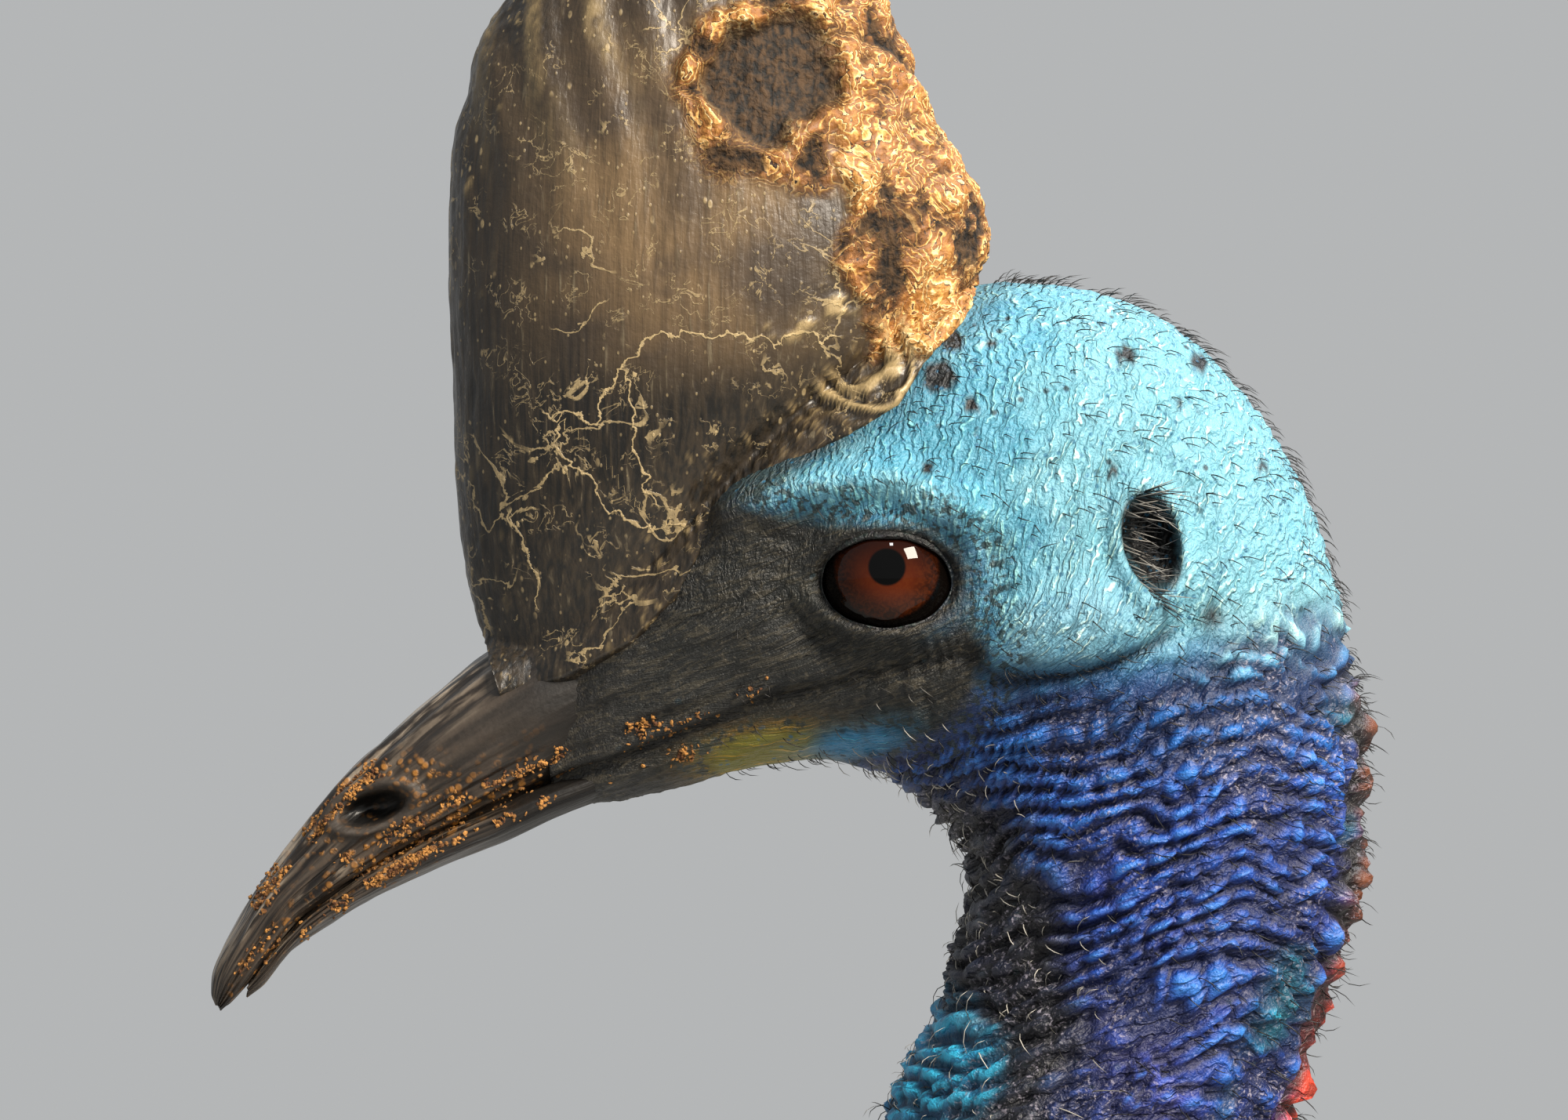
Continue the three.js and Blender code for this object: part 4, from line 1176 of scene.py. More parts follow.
@dataclass
class HeadAndTrunk:
    """Skin from the face to the tail."""

    casque: SideView
    columns: int = 176
    head_rows: int = 236
    neck_rows: int = 108
    body_rows: int = 26
    side_crowding: float = 0.27
    fold: float = 3.3
    round: float = 33.0
    aside: float = 8.0
    noise: Noise = field(default_factory=lambda: Noise(3))

    def grid(self) -> tuple[np.ndarray, np.ndarray]:
        """Places and angles of the skin's rows and columns, closer on the sides of the head.

        Returns:
            The places, and the angles.
        """
        head = np.linspace(0, 8.2, self.head_rows, endpoint=False)
        neck = np.linspace(8.2, CUT["neck_base"] + 0.4, self.neck_rows, endpoint=False)
        body = np.linspace(CUT["neck_base"] + 0.4, CUT["tail_end"], self.body_rows)
        turn = ring(self.columns)
        return np.concatenate([head, neck, body]), turn + self.side_crowding * np.sin(2 * turn)

    def below_blue(self, x: np.ndarray, z: np.ndarray) -> np.ndarray:
        """Distance below the line where turquoise turns to blue."""
        return np.interp(x, *BLUE_LINE) - z

    def folds(self, angle: np.ndarray, flow: np.ndarray, z: np.ndarray) -> np.ndarray:
        """Heights of the neck's rope-like folds, from about -0.5 to 0.5.

        Args:
            angle: angles round the neck.
            flow: distance across the folds.
            z: places up.

        Returns:
            The heights.
        """
        flat = rolled(self.round, angle, flow)
        warp = np.stack([self.noise.smooth(flat + 31 * i, 13) for i in range(3)], -1)
        fine_warp = np.stack([self.noise.smooth(flat + 57 * i, 5) for i in range(3)], -1)
        bent = flat + 5.0 * warp + 1.5 * fine_warp
        size = 4.4 + 1.8 * rise(-z, 120, 300)
        ropes = np.abs(np.sin(np.pi * bent[..., 2] / size)) ** 0.8
        knots, _ = Noise(5).cells(bent / size[..., None] * 1.5 / np.array([1.7, 1.7, 1.0]), 1.0)
        broad = self.noise.layered(flat + 3, 17, 3)
        return 0.66 * (ropes - 0.62) + 0.66 * (np.sqrt(knots) - 0.6) + 0.4 * broad

    def lumps(self, angle: np.ndarray, run: np.ndarray) -> np.ndarray:
        """Heights from 0 to 1 of fleshy lumps down the back of the neck."""
        return Noise(8).cells(rolled(self.round, angle, run), 8.0)[0]

    def face_relief(self, x: np.ndarray, z: np.ndarray, weight: np.ndarray) -> np.ndarray:
        """Heights of brow, cheek, socket, lips and the fine wrinkles that ring the eye.

        Args:
            x: places to the rear.
            z: places up.
            weight: share from 0 to 1 in which the face has them.

        Returns:
            Heights in millimetres.
        """
        around_eye, around_cheek = oval(x, z, EYE), oval(x, z, CHEEK)
        brow = 4.6 * bump(BROW.gap(x, z)[0], 4.6)
        crisp = rise(-(z - CHEEK.z) - 0.27 * (CHEEK.x - x), -3, 4)
        dome = np.sqrt(np.clip(1 - around_cheek**2, 0, 1))
        cheek = 4.3 * (dome * crisp + bump(around_cheek, 0.85) * (1 - crisp))
        cheek = cheek - 1.3 * bump(around_cheek - 1.07, 0.09) * crisp
        socket = -1.7 * bump(around_eye - 1.62, 0.32)
        dark = rise(DARK_FACE.depth(x, z), -1, 5)
        rings = -0.42 * np.cos(2 * np.pi * (around_eye - 1.03) / 0.17) * rise(around_eye, 1.02, 1.12)
        rings = rings * (1 - rise(around_eye, 1.5, 2.0)) * dark * rise(-z, -6, 2)
        turn, away = np.arctan2(z - EYE.z, x - EYE.x), np.hypot(x - EYE.x, z - EYE.z)
        rays = self.noise.smooth(np.stack([turn * 17, away * 0.1, 0 * x], -1), 1.0)
        creases = 0.5 * rays * dark * rise(away, 14, 22) * (1 - rise(away, 45, 62))
        gap, share = MOUTH.gap(x, z)
        beside = np.stack([share * 6, MOUTH.side(x, z) / 2.0, 0 * x], -1)
        creases = creases + 0.6 * self.noise.smooth(beside, 1.0) * dark * bump((gap - 7) / 6, 1)
        open_end = 1 - 0.6 * rise(share, 0.8, 1.0)
        mouth = (-1.7 * bump(gap, 0.75) + 0.75 * bump(gap - 2.3, 1.3)) * open_end
        jaw = 1.2 * bump(MOUTH.gap(x, z + 7)[0], 3.4) * open_end
        return (brow + cheek + socket + rings + creases + mouth + jaw) * weight

    def open_eye(self, points: np.ndarray) -> np.ndarray:
        """Points with the skin drawn onto the eyeball, and behind it inside the lids.

        Args:
            points: grid of points.

        Returns:
            The moved points.
        """
        x, y, z = np.moveaxis(points, -1, 0)
        half, around = np.abs(y), oval(x, z, EYE)
        near = half > self.aside
        pull = np.where((around > 0.86) & (around < 1.0), 1.0 / np.maximum(around, 0.1), 1.0)
        pull = np.where((around > 0.7) & (around <= 0.86), 0.96 / np.maximum(around, 0.1), pull)
        pull = np.where(near, pull, 1.0)
        x, z = EYE.pulled(x, z, pull)
        around = oval(x, z, EYE)
        edge_x, edge_z = EYE.pulled(x, z, np.minimum(1, 1 / np.maximum(around, 0.1)))
        ball = EYE_SIDE + np.sqrt(np.maximum(0, EYE_RADIUS**2 - edge_x**2 - edge_z**2))
        lid = ball + 0.5 + 1.5 * bump(around - 1.13, 0.12) + (half - ball - 0.5) * rise(around, 1.0, 1.55)
        moved = np.where(around >= 0.995, np.where(around < 1.55, lid, half), ball - 3.2)
        half = np.where(near & (around < 1.55), moved, half)
        return np.stack([x, np.sign(y) * half, z], -1)

    def open_ear(self, points: np.ndarray) -> np.ndarray:
        """Points with the ear's hole let in and a soft rim about it.

        Args:
            points: grid of points.

        Returns:
            The moved points.
        """
        x, y, z = np.moveaxis(points, -1, 0)
        half, around = np.abs(y), oval(x, z, EAR)
        near = half > self.aside
        pull = np.where((around > 0.84) & (around < 1.0) & near, 1.0 / np.maximum(around, 0.1), 1.0)
        x, z = EAR.pulled(x, z, pull)
        around = oval(x, z, EAR)
        hole = -7.5 * np.sqrt(np.clip(1 - around, 0, 1)) - 0.4 * (around < 0.99)
        rim = 0.9 * bump(around - 1.2, 0.2) - 0.7 * bump(around - 1.75, 0.3)
        half = np.where(near, half + hole + rim, half)
        return np.stack([x, np.sign(y) * half, z], -1)

    def under_casque(self, points: np.ndarray) -> np.ndarray:
        """Points drawn in below the casque.

        Args:
            points: grid of points.

        Returns:
            The moved points.
        """
        x, y, z = np.moveaxis(points, -1, 0)
        depth, half = CASQUE_GROUND.depth(x, z), np.abs(y)
        covered, limit = depth > -1.2, half.copy()
        limit[covered] = np.maximum(0, self.casque.at(x[covered], z[covered]) - 2.2)
        drawn = half + (np.minimum(half, limit) - half) * rise(depth, -0.8, 2.2)
        return np.stack([x, np.sign(y) * np.where(covered, drawn, half), z], -1)

    def colours(
        self, points: np.ndarray, angle: np.ndarray, place: np.ndarray, relief: np.ndarray
    ) -> tuple[np.ndarray, np.ndarray]:
        """Colours of the skin, with painted highlights and shade on its folds, and how much of it is the dark
        face.

        Args:
            points: grid of points.
            angle: angles from the back.
            place: station numbers.
            relief: heights of the folds.

        Returns:
            Linear colours, and shares from 0 to 1.
        """
        x, z = points[..., 0], points[..., 2]
        cloud = self.noise.layered(points, 15, 4)
        patch = Noise(12).layered(points, 8, 4)
        from_back = from_zero(angle)
        colour = painted(points, 0xD2FFF4)
        teal = rise(patch + 0.6 * cloud + 0.5 - 0.9 * rise(x, 8, 50), -0.1, 0.8)
        colour = blend(colour, 0x3CC6D6, 0.62 * teal)
        shaded = rise(CASQUE_GROUND.depth(x, z) + 2 * patch, -8, -1) * rise(x, -12, 4)
        colour = blend(colour, 0x2E6E78, 0.6 * shaded)
        on_cheek = oval(x, z, CHEEK)
        # Cheek swell near white: its own pale skin, whitened further as a painted highlight on the swell.
        colour = blend(colour, 0xDFFCF6, 0.8 * bump(on_cheek - 0.1, 0.75) * (place < 7))
        colour = blend(colour, 0x1E93B8, rise(DARK_FACE.depth(x, z) + 2 * patch, -6.5, 0) * 0.8)
        below = self.below_blue(x, z) + 3.5 * patch - 5 * bump(on_cheek, 0.95) - 5 * relief
        colour = blend(colour, 0x1489C0, rise(below, -9, 1) * 0.8)
        colour = blend(colour, 0x0D59A2, rise(below, -3, 6))
        colour = blend(colour, 0x0F409A, rise(below + 6 * cloud, 4, 24))
        # Dark blue line under the cheek's edge: painted shadow of the overhanging cheek.
        under = bump(on_cheek - 1.07, 0.1) * rise(CHEEK.z - z, -1, 3) * (place < 7)
        colour = blend(colour, 0x08304E, 0.85 * under)
        violet = rise(below + 14 * cloud, 22, 60) * rise(Noise(14).layered(points, 22, 3), -0.25, 0.35)
        colour = blend(colour, 0x3A34A0, 0.85 * violet)
        # Lighter blue on the tops of the folds: painted highlight.
        fold_top_highlight = rise(relief + 0.25 * patch, 0.12, 0.5) * rise(below, 0, 20)
        colour = blend(colour, 0x3C8CE0, 0.5 * fold_top_highlight)
        throat = 1 - rise(THROAT.gap(x, z)[0] + 5 * patch, 8, 17)
        throat = throat * rise(x, -30, -2) * rise(-z, 30, 42)
        colour = blend(colour, 0x17181D, 0.95 * throat)
        ashy = rise(Noise(15).smooth(points, 2.2), 0.3, 0.75) * throat
        colour = blend(colour, 0x82848C, 0.5 * ashy)
        front = Line(((9, -82), (3, -92), (-4, -104), (-12, -128))).gap(x, z)[0]
        colour = blend(colour, 0x2FB4DE, (1 - rise(front + 7 * patch + 4 * cloud, 1, 12)) * 0.9)
        back_lumps = (1 - rise(from_back + 0.12 * patch, 0.3, 0.52)) * rise(-z, 10, 22)
        # Nape lumps red-brown, darker purple-brown between them as painted shade.
        nape_red_and_shade = blend(painted(points, 0x2A1A22), 0x6A3A22, rise(relief, 0.0, 0.5))
        nape_red_and_shade = blend(nape_red_and_shade, 0xC8381C, rise(-z, 55, 90))
        colour = blend(colour, nape_red_and_shade, back_lumps)
        tips = bump(from_back - 0.62, 0.22) * rise(Noise(16).smooth(points, 11), 0.25, 0.6) * rise(-z, 18, 30)
        colour = blend(colour, 0x2EC4D6, 0.9 * tips * (1 - rise(-z, 120, 150)))
        low_red = rise(-z, 150, 235) * (1 - rise(from_back + 0.3 * patch, 0.9, 1.35))
        ripe = blend(painted(points, 0xA22616), 0xD8642A, rise(patch, -0.2, 0.5))
        colour = blend(colour, ripe, low_red)
        depth, before = DARK_FACE.depth(x, z) + 1.6 * patch, 1 - rise(place, 8.3, 8.9)
        dark = rise(depth, -1.2, 2.4) * before
        face = blend(painted(points, 0x1D1E17), 0x4A4536, 0.6 * rise(patch, 0, 0.7))
        colour = blend(colour, face, dark)
        horny = (1 - rise(x + 2 * patch, -56, -44)) * (1 - rise(place, 6, 7))
        colour = blend(colour, 0x35302A, 0.8 * horny * bump((z + 24) / 13, 1))
        yellow = bump(oval(x, z, Oval(-21, -31.2, 10, 4.0, 8)), 0.95)
        colour = blend(colour, 0xFFBE22, np.clip(2.4 * yellow, 0, 1))
        jaw_blue = bump(oval(x, z, Oval(-6, -28.6, 9, 3.0, 10)), 0.9) * rise(patch, -0.5, 0.1)
        colour = blend(colour, 0x4CC6EA, np.clip(1.4 * jaw_blue, 0, 1))
        black = rise(CASQUE_GROUND.depth(x, z), -5.5, -1.5) * (1 - rise(x, -14, 4)) * (1 - rise(place, 6, 7))
        colour = blend(colour, 0x1D1B17, 0.9 * black)
        # Near-black line along the mouth: painted shade in its crease.
        colour = blend(colour, 0x060505, bump(MOUTH.gap(x, z)[0], 1.0) * 0.9 * (place < 6))
        ring = bump(oval(x, z, EYE) - 1.28, 0.16) * rise(x, 2, 10) * rise(-z, -9, -3)
        colour = blend(colour, 0x22647E, 0.6 * ring)
        # Near black inside the eye's opening and the ear's hole: painted shade in these recesses.
        inside_eye = 1 - rise(oval(x, z, EYE), 1.02, 1.12)
        inside_ear = 1 - rise(oval(x, z, EAR) + 0.1 * patch, 0.95, 1.14)
        head = (place < 7) * np.maximum(inside_eye, inside_ear)
        colour = blend(colour, 0x070607, head)
        scab = bump(np.hypot(x - 54.8, z + 6.8), 2.3) * (place < 7)
        colour = blend(colour, 0x3A2420, scab)
        for spot_x, spot_z, size in SPECKS:
            speck = rise(1.4 * size - np.hypot(x - spot_x, z - spot_z) + 0.6 * patch, 0, 0.4) * (place < 7)
            colour = blend(colour, 0x0A1418, speck)
        plumed = rise(place, CUT["neck_base"] - 0.1, CUT["neck_base"] + 0.5)
        wide = rise(depth, -11, 4) * before * (1 - np.clip(2.6 * (yellow + jaw_blue), 0, 1))
        return blend(colour, 0x161314, plumed), np.maximum(wide, inside_eye * (place < 7))

    def make(self) -> tuple[Part, np.ndarray]:
        """Skin of the head and the trunk, and its grid of points.

        Returns:
            The part, and the grid.
        """
        place, angle = self.grid()
        places, angles = crossed(place, angle)
        runs = np.broadcast_to(TRUNK.travelled(place)[:, None], places.shape)
        under = coat_depth(places) + 0.6 * rise(places, CUT["neck_base"] - 0.5, CUT["neck_base"] + 0.5)
        points = TRUNK.at(places, angles, -under)
        normals = grid_normals(points)
        x, z = points[..., 0], points[..., 2]
        sideways = rise(np.abs(normals[..., 1]), 0.15, 0.6)
        on_head = 1 - rise(places, 7.6, 8.6)
        below = self.below_blue(x, z)
        amount = rise(below + 11 * rise(x, 40, 72), -6, 15)
        amount = amount * (1 - rise(DARK_FACE.depth(x, z), -5, 2) * on_head)
        bare = 1 - rise(places, CUT["neck_base"] + 0.2, CUT["neck_base"] + 0.8)
        from_back = from_zero(angles)
        flow = 0.3 * x - z - 12 * (1 - rise(from_back, 0.4, 1.25))
        flow = flow + (runs - flow).flat[np.argmin(np.hypot(x - 45, z + 16))]
        fold = self.folds(angles, flow, z)
        lumpy = (1 - rise(from_back, 0.4, 0.62)) * rise(-z, 14, 30)
        lump = self.lumps(angles, runs)
        relief = fold * (0.1 + 0.9 * amount) * (1 - 0.6 * lumpy) + (lump - 0.35) * lumpy
        small = Noise(21).cells(rolled(24, angles, runs * 2.4), 2.6)[0]
        crown = 0.28 * (small - 0.5) * (1 - amount) * on_head
        crown = crown + 0.5 * (fold - 0.1) * rise(x, 40, 68) * (1 - amount) * on_head
        height = self.fold * relief * bare * (1 + 0.3 * rise(-z, 150, 300)) + 1.4 * lump * lumpy * bare
        height = height + crown + 0.35 * self.noise.smooth(points, 9) * on_head
        height = height + self.face_relief(x, z, sideways * on_head) - 1.0 * amount * bare
        height = height - 2.6 * (1 - rise(x + 2.5 * self.noise.smooth(points, 6), -61, -46)) * on_head
        points = points + normals * height[..., None]
        points = np.where((places < 6.5)[..., None], self.open_ear(self.open_eye(points)), points)
        points = np.where((places < 6)[..., None], self.under_casque(points), points)
        colour, dark = self.colours(points, angles, places, relief)
        grain = rolled(self.round, angles, runs + (flow - runs) * rise(below, -12, 20))
        fine = np.where(places < CUT["neck_base"], 1 - 0.55 * amount - 0.3 * dark, 0.3)
        fine = fine - 1.05 * (1 - rise(x, -55, -42)) * on_head
        return Part.tube(points, colour, relief * (0.25 + 0.75 * amount), dark, grain, fine), points


@dataclass
class Wattles:
    """Two red folds of skin that hang from the front of the neck."""

    rows: tuple[tuple[float, ...], ...] = (
        (-1, 13.5, -188, 8, 9),
        (-20, 15.5, -204, 9, 12.5),
        (-30, 17, -236, 8, 13),
        (-31, 19.5, -278, 9, 17),
        (-28, 19.5, -306, 7, 12),
        (-27, 19.5, -318, 2, 4),
    )

    def make(self) -> list[Part]:
        """Both wattles.

        Returns:
            One part for each.
        """
        parts = []
        for side in SIDES.values():
            table = np.array(self.rows, float)
            table[:, 1] *= side
            places, angles = crossed(np.linspace(0, len(table) - 1, 76), ring(36))
            run = Run(table)
            base = limb_points(run, places, angles)
            folds = np.sqrt(Noise(31).cells(base / np.array([1.6, 1.6, 0.8]), 5.0)[0])
            taper = rise(places, 0, 0.5) * rise(len(table) - 1 - places, 0, 0.4)
            lift = taper * (1.7 * (folds - 0.6) + 1.2 * Noise(32).layered(base, 14, 3))
            points = limb_points(run, places, angles, lift)
            # Wattles red, darker red between their folds as painted shade.
            colour = blend(painted(points, 0xB3261A), 0x6E1010, 1 - rise(folds, 0.25, 0.7))
            colour = blend(colour, 0x4A2A78, 1 - rise(places, 0.1, 0.9))
            grain = rolled(20, angles, points[..., 2])
            parts.append(Part.tube(points, colour, folds - 0.4, 0, grain, 0.9))
        return parts


@dataclass
class Legs:
    """Bare shanks, feet and toes, and where the claws and the thighs' feathers grow.

    Rows hold x, y, z above the floor and two half widths.
    """

    foot_x: float = 462
    foot_z: float = 46
    stance: float = 96
    stride: float = 26
    thigh_level: float = 585
    thigh_coat: float = 13
    thigh: tuple[tuple[float, ...], ...] = (
        (440, 98, 690, 92, 58),
        (462, 100, 575, 86, 60),
        (486, 100, 500, 66, 52),
        (502, 98, 436, 49, 43),
    )
    shank: tuple[tuple[float, ...], ...] = (
        (500, 97, 470, 28, 25),
        (505, 97, 438, 31, 27),
        (514, 96, 396, 35, 29),
        (507, 96, 356, 28, 24),
        (489, 96, 235, 21, 19),
        (471, 96, 105, 23, 22),
        (463, 96, 50, 27, 27),
        (463, 96, 22, 24, 24),
    )
    toes: dict[str, tuple[float, float, float, float]] = field(
        default_factory=lambda: {
            "inner": (-24, 92, 92, 15),
            "middle": (0, 150, 42, 18),
            "outer": (26, 112, 34, 15.5),
        }
    )
    scute: float = 11.5

    def skin(self, grid: np.ndarray, relief: np.ndarray, worn: np.ndarray, grain: np.ndarray) -> Part:
        """Leg skin, darker between its scales as painted shade, and paler by the shares in which they are
        worn.
        """
        # Darker between the scales: painted shade.
        colour = blend(painted(grid, 0x6E6758), 0x2C2822, 1 - rise(relief, -0.3, 0.15))
        return Part.tube(grid, blend(colour, 0x8A8270, worn), relief * 0.5, 0.15, grain, 0.35)

    def lean(self, name: str) -> float:
        """How far a foot stands behind the middle of the stance."""
        return self.stride * (1 if name == "right" else -1)

    def stood(self, rows: Sequence[Sequence[float]], name: str) -> Run:
        """Rows above the floor as a run beside the eyes, with the leg's stride.

        Args:
            rows: x, y, z above the floor and two half widths.
            name: left or right.

        Returns:
            The run.
        """
        table = np.array(rows, float)
        share = np.maximum(0, 1 - (table[:, 2] - self.foot_z) / (self.thigh_level - self.foot_z))
        table[:, 0] += self.lean(name) * share
        table[:, 1] *= SIDES[name]
        table[:, 2] += FLOOR
        return Run(table)

    def toe_run(self, name: str, toe: str, start: float, end: float, claw: bool) -> Run:
        """Middle line and radii of a toe or of its claw.

        Args:
            name: left or right.
            toe: inner, middle or outer.
            start: distance from the foot's middle where the run starts.
            end: distance where it ends.
            claw: whether it is the claw.

        Returns:
            Run of five rows.
        """
        turn, _, _, wide = self.toes[toe]
        heading = math.pi - SIDES[name] * math.radians(turn)
        t = np.linspace(0, 1, 5)
        reach = start + (end - start) * t
        z = 14 + 3 * np.sin(np.pi * t) - 8 * t if claw else 19 - 6 * t
        deep = 9.5 - 8.3 * t if claw else 22 - 9 * t
        x = self.foot_x + self.lean(name) + reach * math.cos(heading)
        y = SIDES[name] * self.stance + reach * math.sin(heading)
        return Run(np.stack([x, y, z + FLOOR, deep, deep * wide / 17], -1))

    def scaled(self, run: Run, rows: int, columns: int, step: float, front: float, blunt: float = 1) -> Part:
        """Tube of leg skin with broad plates along one line of it and small scales elsewhere.

        Args:
            run: middle line and radii.
            rows: rings of points.
            columns: points in a ring.
            step: length of one broad plate.
            front: angle of the line that the plates follow.
            blunt: length over which its end is rounded.

        Returns:
            The part.
        """
        place = np.linspace(0, run.last, rows)
        places, angles = crossed(place, ring(columns))
        base = limb_points(run, places, angles)
        middle = run(place)[:, :3]
        reach = travelled(middle)
        runs = np.broadcast_to(reach[:, None], places.shape)
        turned = np.abs((angles - front + np.pi) % (2 * np.pi) - np.pi)
        broad = 1 - rise(turned, 0.75, 1.05)
        share = (runs + 1.5 * np.cos(2 * turned)) / step % 1
        plate = np.where(share < 0.86, 0.45 + 0.55 * share, 1 - (share - 0.86) / 0.14 * 0.9) - 0.4
        scales, draw = Noise(41).cells(base, step * 0.45)
        relief = broad * plate + (1 - broad) * (np.sqrt(scales) - 0.6)
        ends = rise(places, 0, 0.2) * rise(run.last - places, 0, 0.2)
        points = limb_points(run, places, angles, relief * 1.5 * ends)
        left = np.clip((reach[-1] - reach) / blunt, 0.01, 1)
        round_end = np.sqrt(1 - (1 - left) ** 2)[:, None, None]
        points = middle[:, None] + (points - middle[:, None]) * round_end
        points[..., 2] = np.maximum(points[..., 2], SOLE)
        return self.skin(points, relief, 0.5 * draw * (1 - broad), rolled(20, angles, runs))

    def foot_pad(self, name: str) -> Part:
        """Rounded foot where the toes meet.

        Args:
            name: left or right.

        Returns:
            The part.
        """
        turns, arounds = crossed(np.linspace(0.02, np.pi - 0.02, 34), ring(52))
        grid = np.stack(
            [
                self.foot_x + self.lean(name) + 2 + 37 * np.sin(turns) * np.cos(arounds),
                SIDES[name] * self.stance + 31 * np.sin(turns) * np.sin(arounds),
                np.maximum(SOLE, FLOOR + 22 + 33 * np.cos(turns)),
            ],
            -1,
        )
        scales, draw = Noise(44).cells(grid, 6.5)
        relief = np.sqrt(scales) - 0.6
        grid += 1.3 * relief[..., None] * grid_normals(grid)
        grid[..., 2] = np.maximum(grid[..., 2], SOLE)
        return self.skin(grid, relief, 0.5 * draw, grid)

    def make(self) -> list[Part]:
        """Skin of both legs.

        Returns:
            Parts that overlap.
        """
        parts = []
        for name in SIDES:
            thigh = self.stood(self.thigh, name)
            places, angles = crossed(np.linspace(0, thigh.last, 14), ring(24))
            inside = limb_points(thigh, places, angles, -self.thigh_coat - 0.6)
            parts.append(Part.tube(inside, painted(inside, 0x161314), 0, 0, inside, 0.3))
            parts.append(self.scaled(self.stood(self.shank, name), 150, 36, self.scute, np.pi))
            parts.append(self.foot_pad(name))
            for toe, (_, length, _, _) in self.toes.items():
                run = self.toe_run(name, toe, 8, length, False)
                parts.append(self.scaled(run, 64, 26, 9.0, self.top_of(run), 14))
        return parts

    @staticmethod
    def top_of(run: Run) -> float:
        """Angle of a toe's upper side in its own section."""
        _, out, _, _ = limb_frame(run, np.array([2.0]))
        return 0.0 if out[0, 2] > 0 else math.pi


def union(parts: Sequence[Part], name: str) -> bpy.types.Object:
    """One closed skin from overlapping closed parts.

    Args:
        parts: the parts, the largest first.
        name: name of the joined piece.

    Returns:
        The piece, with what was stored on the nearest point of a part.
    """
    whole = make_piece(name, parts[0].points, parts[0].faces)
    for part in parts[1:]:
        tool = make_piece("part", part.points, part.faces)
        modifier = whole.modifiers.new("join", "BOOLEAN")
        modifier.operation = "UNION"
        modifier.solver = "MANIFOLD"
        modifier.object = tool
        joined = modified(whole)
        bpy.data.objects.remove(tool)
    joined.name = name
    joined.materials.clear()
    joined.polygons.foreach_set("material_index", np.zeros(len(joined.polygons), np.int32))
    joined.polygons.foreach_set("use_smooth", np.ones(len(joined.polygons), bool))
    spots = np.empty(len(joined.vertices) * 3, np.float32)
    joined.vertices.foreach_get("co", spots)
    spots = (spots.reshape(-1, 3) - ORIGIN) / MM
    tree = search_tree(np.vstack([part.points for part in parts]))
    nearest = np.array([tree.find(spot)[1] for spot in spots])
    kinds = {"marking": Store.COLOUR, "grain": Store.VECTOR}
    for source in ("marking", "relief", "dark", "grain", "fine"):
        values = np.concatenate([getattr(part, source) for part in parts])
        store(whole, source.capitalize(), kinds.get(source, Store.NUMBER), values[nearest])
    return whole


@dataclass
class Skin:
    """The one skin of head, neck, body, legs and wattles."""

    casque: SideView
    legs: Legs

    def lids(self) -> list[Part]:
        """Fleshy edges of the four lids.

        Returns:
            One ring for each eye.
        """
        parts = []
        turn = ring(120)
        for side in SIDES.values():
            inner, outer = lid_edge(side, turn, 0.93), lid_edge(side, turn, 1.09)
            middle = (inner + outer) / 2
            out = np.array([0, side, 0])
            across = unit(outer - inner)
            thick = 1.0 + 0.35 * np.sin(turn) + 0.1 * np.sin(9 * turn)
            grid = np.stack(
                [
                    middle + 0.35 * out + np.outer(thick * 1.15 * math.cos(a), np.ones(3)) * across
                    + np.outer(thick * math.sin(a), out)
                    for a in ring(12)
                ]
            )
            i, j = crossed(np.arange(12), np.arange(120))
            i, after, j, beside = i * 120, (i + 1) % 12 * 120, j, (j + 1) % 120
            faces = np.stack([i + j, i + beside, after + beside, after + j], -1).reshape(-1, 4)
            points = grid.reshape(-1, 3)
            faces = turned_out([faces], points[faces[:120]], middle)
            rear = rise(points[:, 0], 4, 11) * rise(-points[:, 2], -6, 2)
            colour = blend(painted(points, 0x0C0D0E), 0x1D4C62, 0.5 * rear)
            ones = np.ones(len(points))
            parts.append(Part(points, faces, colour, 0 * ones, 0.5 * ones, points, 0.5 * ones))
        return parts

    def make(self) -> np.ndarray:
        """Makes the skin, around the grid of points of its head and trunk.

        Returns:
            The grid.
        """
        trunk, grid = HeadAndTrunk(self.casque).make()
        parts = [trunk, *Wattles().make(), *self.legs.make(), *self.lids()]
        skin = union(parts, "skin")
        nodes = ["head", "neck_upper", "neck_lower", "torso", "tail"]
        for name in SIDES:
            nodes += [f"{part}_{name}" for part in ("ear", "wattle", "thigh", "shank", "foot")]
            nodes += [f"toe_{toe}_{name}" for toe in self.legs.toes]
        hand_over(skin, "head", *nodes, finish=SkinFinish().make())
        return grid


@dataclass
class Eyes:
    """Two wet eyeballs with a raised cornea."""

    rings: int = 72
    columns: int = 72
    iris: float = 8.8
    pupil: float = 3.2
    gaze: tuple[float, float] = (-0.9, 1.6)

    def make(self) -> None:
        """Both eyes."""
        for name, side in SIDES.items():
            turns, arounds = crossed(np.linspace(0.01, np.pi - 0.01, self.rings), ring(self.columns))
            far = np.sin(turns)
            out = np.stack([far * np.cos(arounds), side * np.cos(turns), far * np.sin(arounds)], -1)
            away = np.hypot(out[..., 0] * EYE_RADIUS - self.gaze[0], out[..., 2] * EYE_RADIUS - self.gaze[1])
            raised = 0.7 * np.clip(1 - (away / (self.iris + 0.6)) ** 2, 0, 1) * (turns < np.pi / 2)
            grid = out * (EYE_RADIUS - 0.2 + raised[..., None]) + np.array([0, side * EYE_SIDE, 0])
            piece = make_piece(f"eye_{name}_ball", *closed_tube(grid))
            middle = placed(np.array([self.gaze[0], 0, self.gaze[1]]))
            finish = EyeFinish(tuple(middle), self.iris, self.pupil).make(f"eye_{name}")
            hand_over(piece, f"eye_{name}", f"eye_{name}", finish=finish)


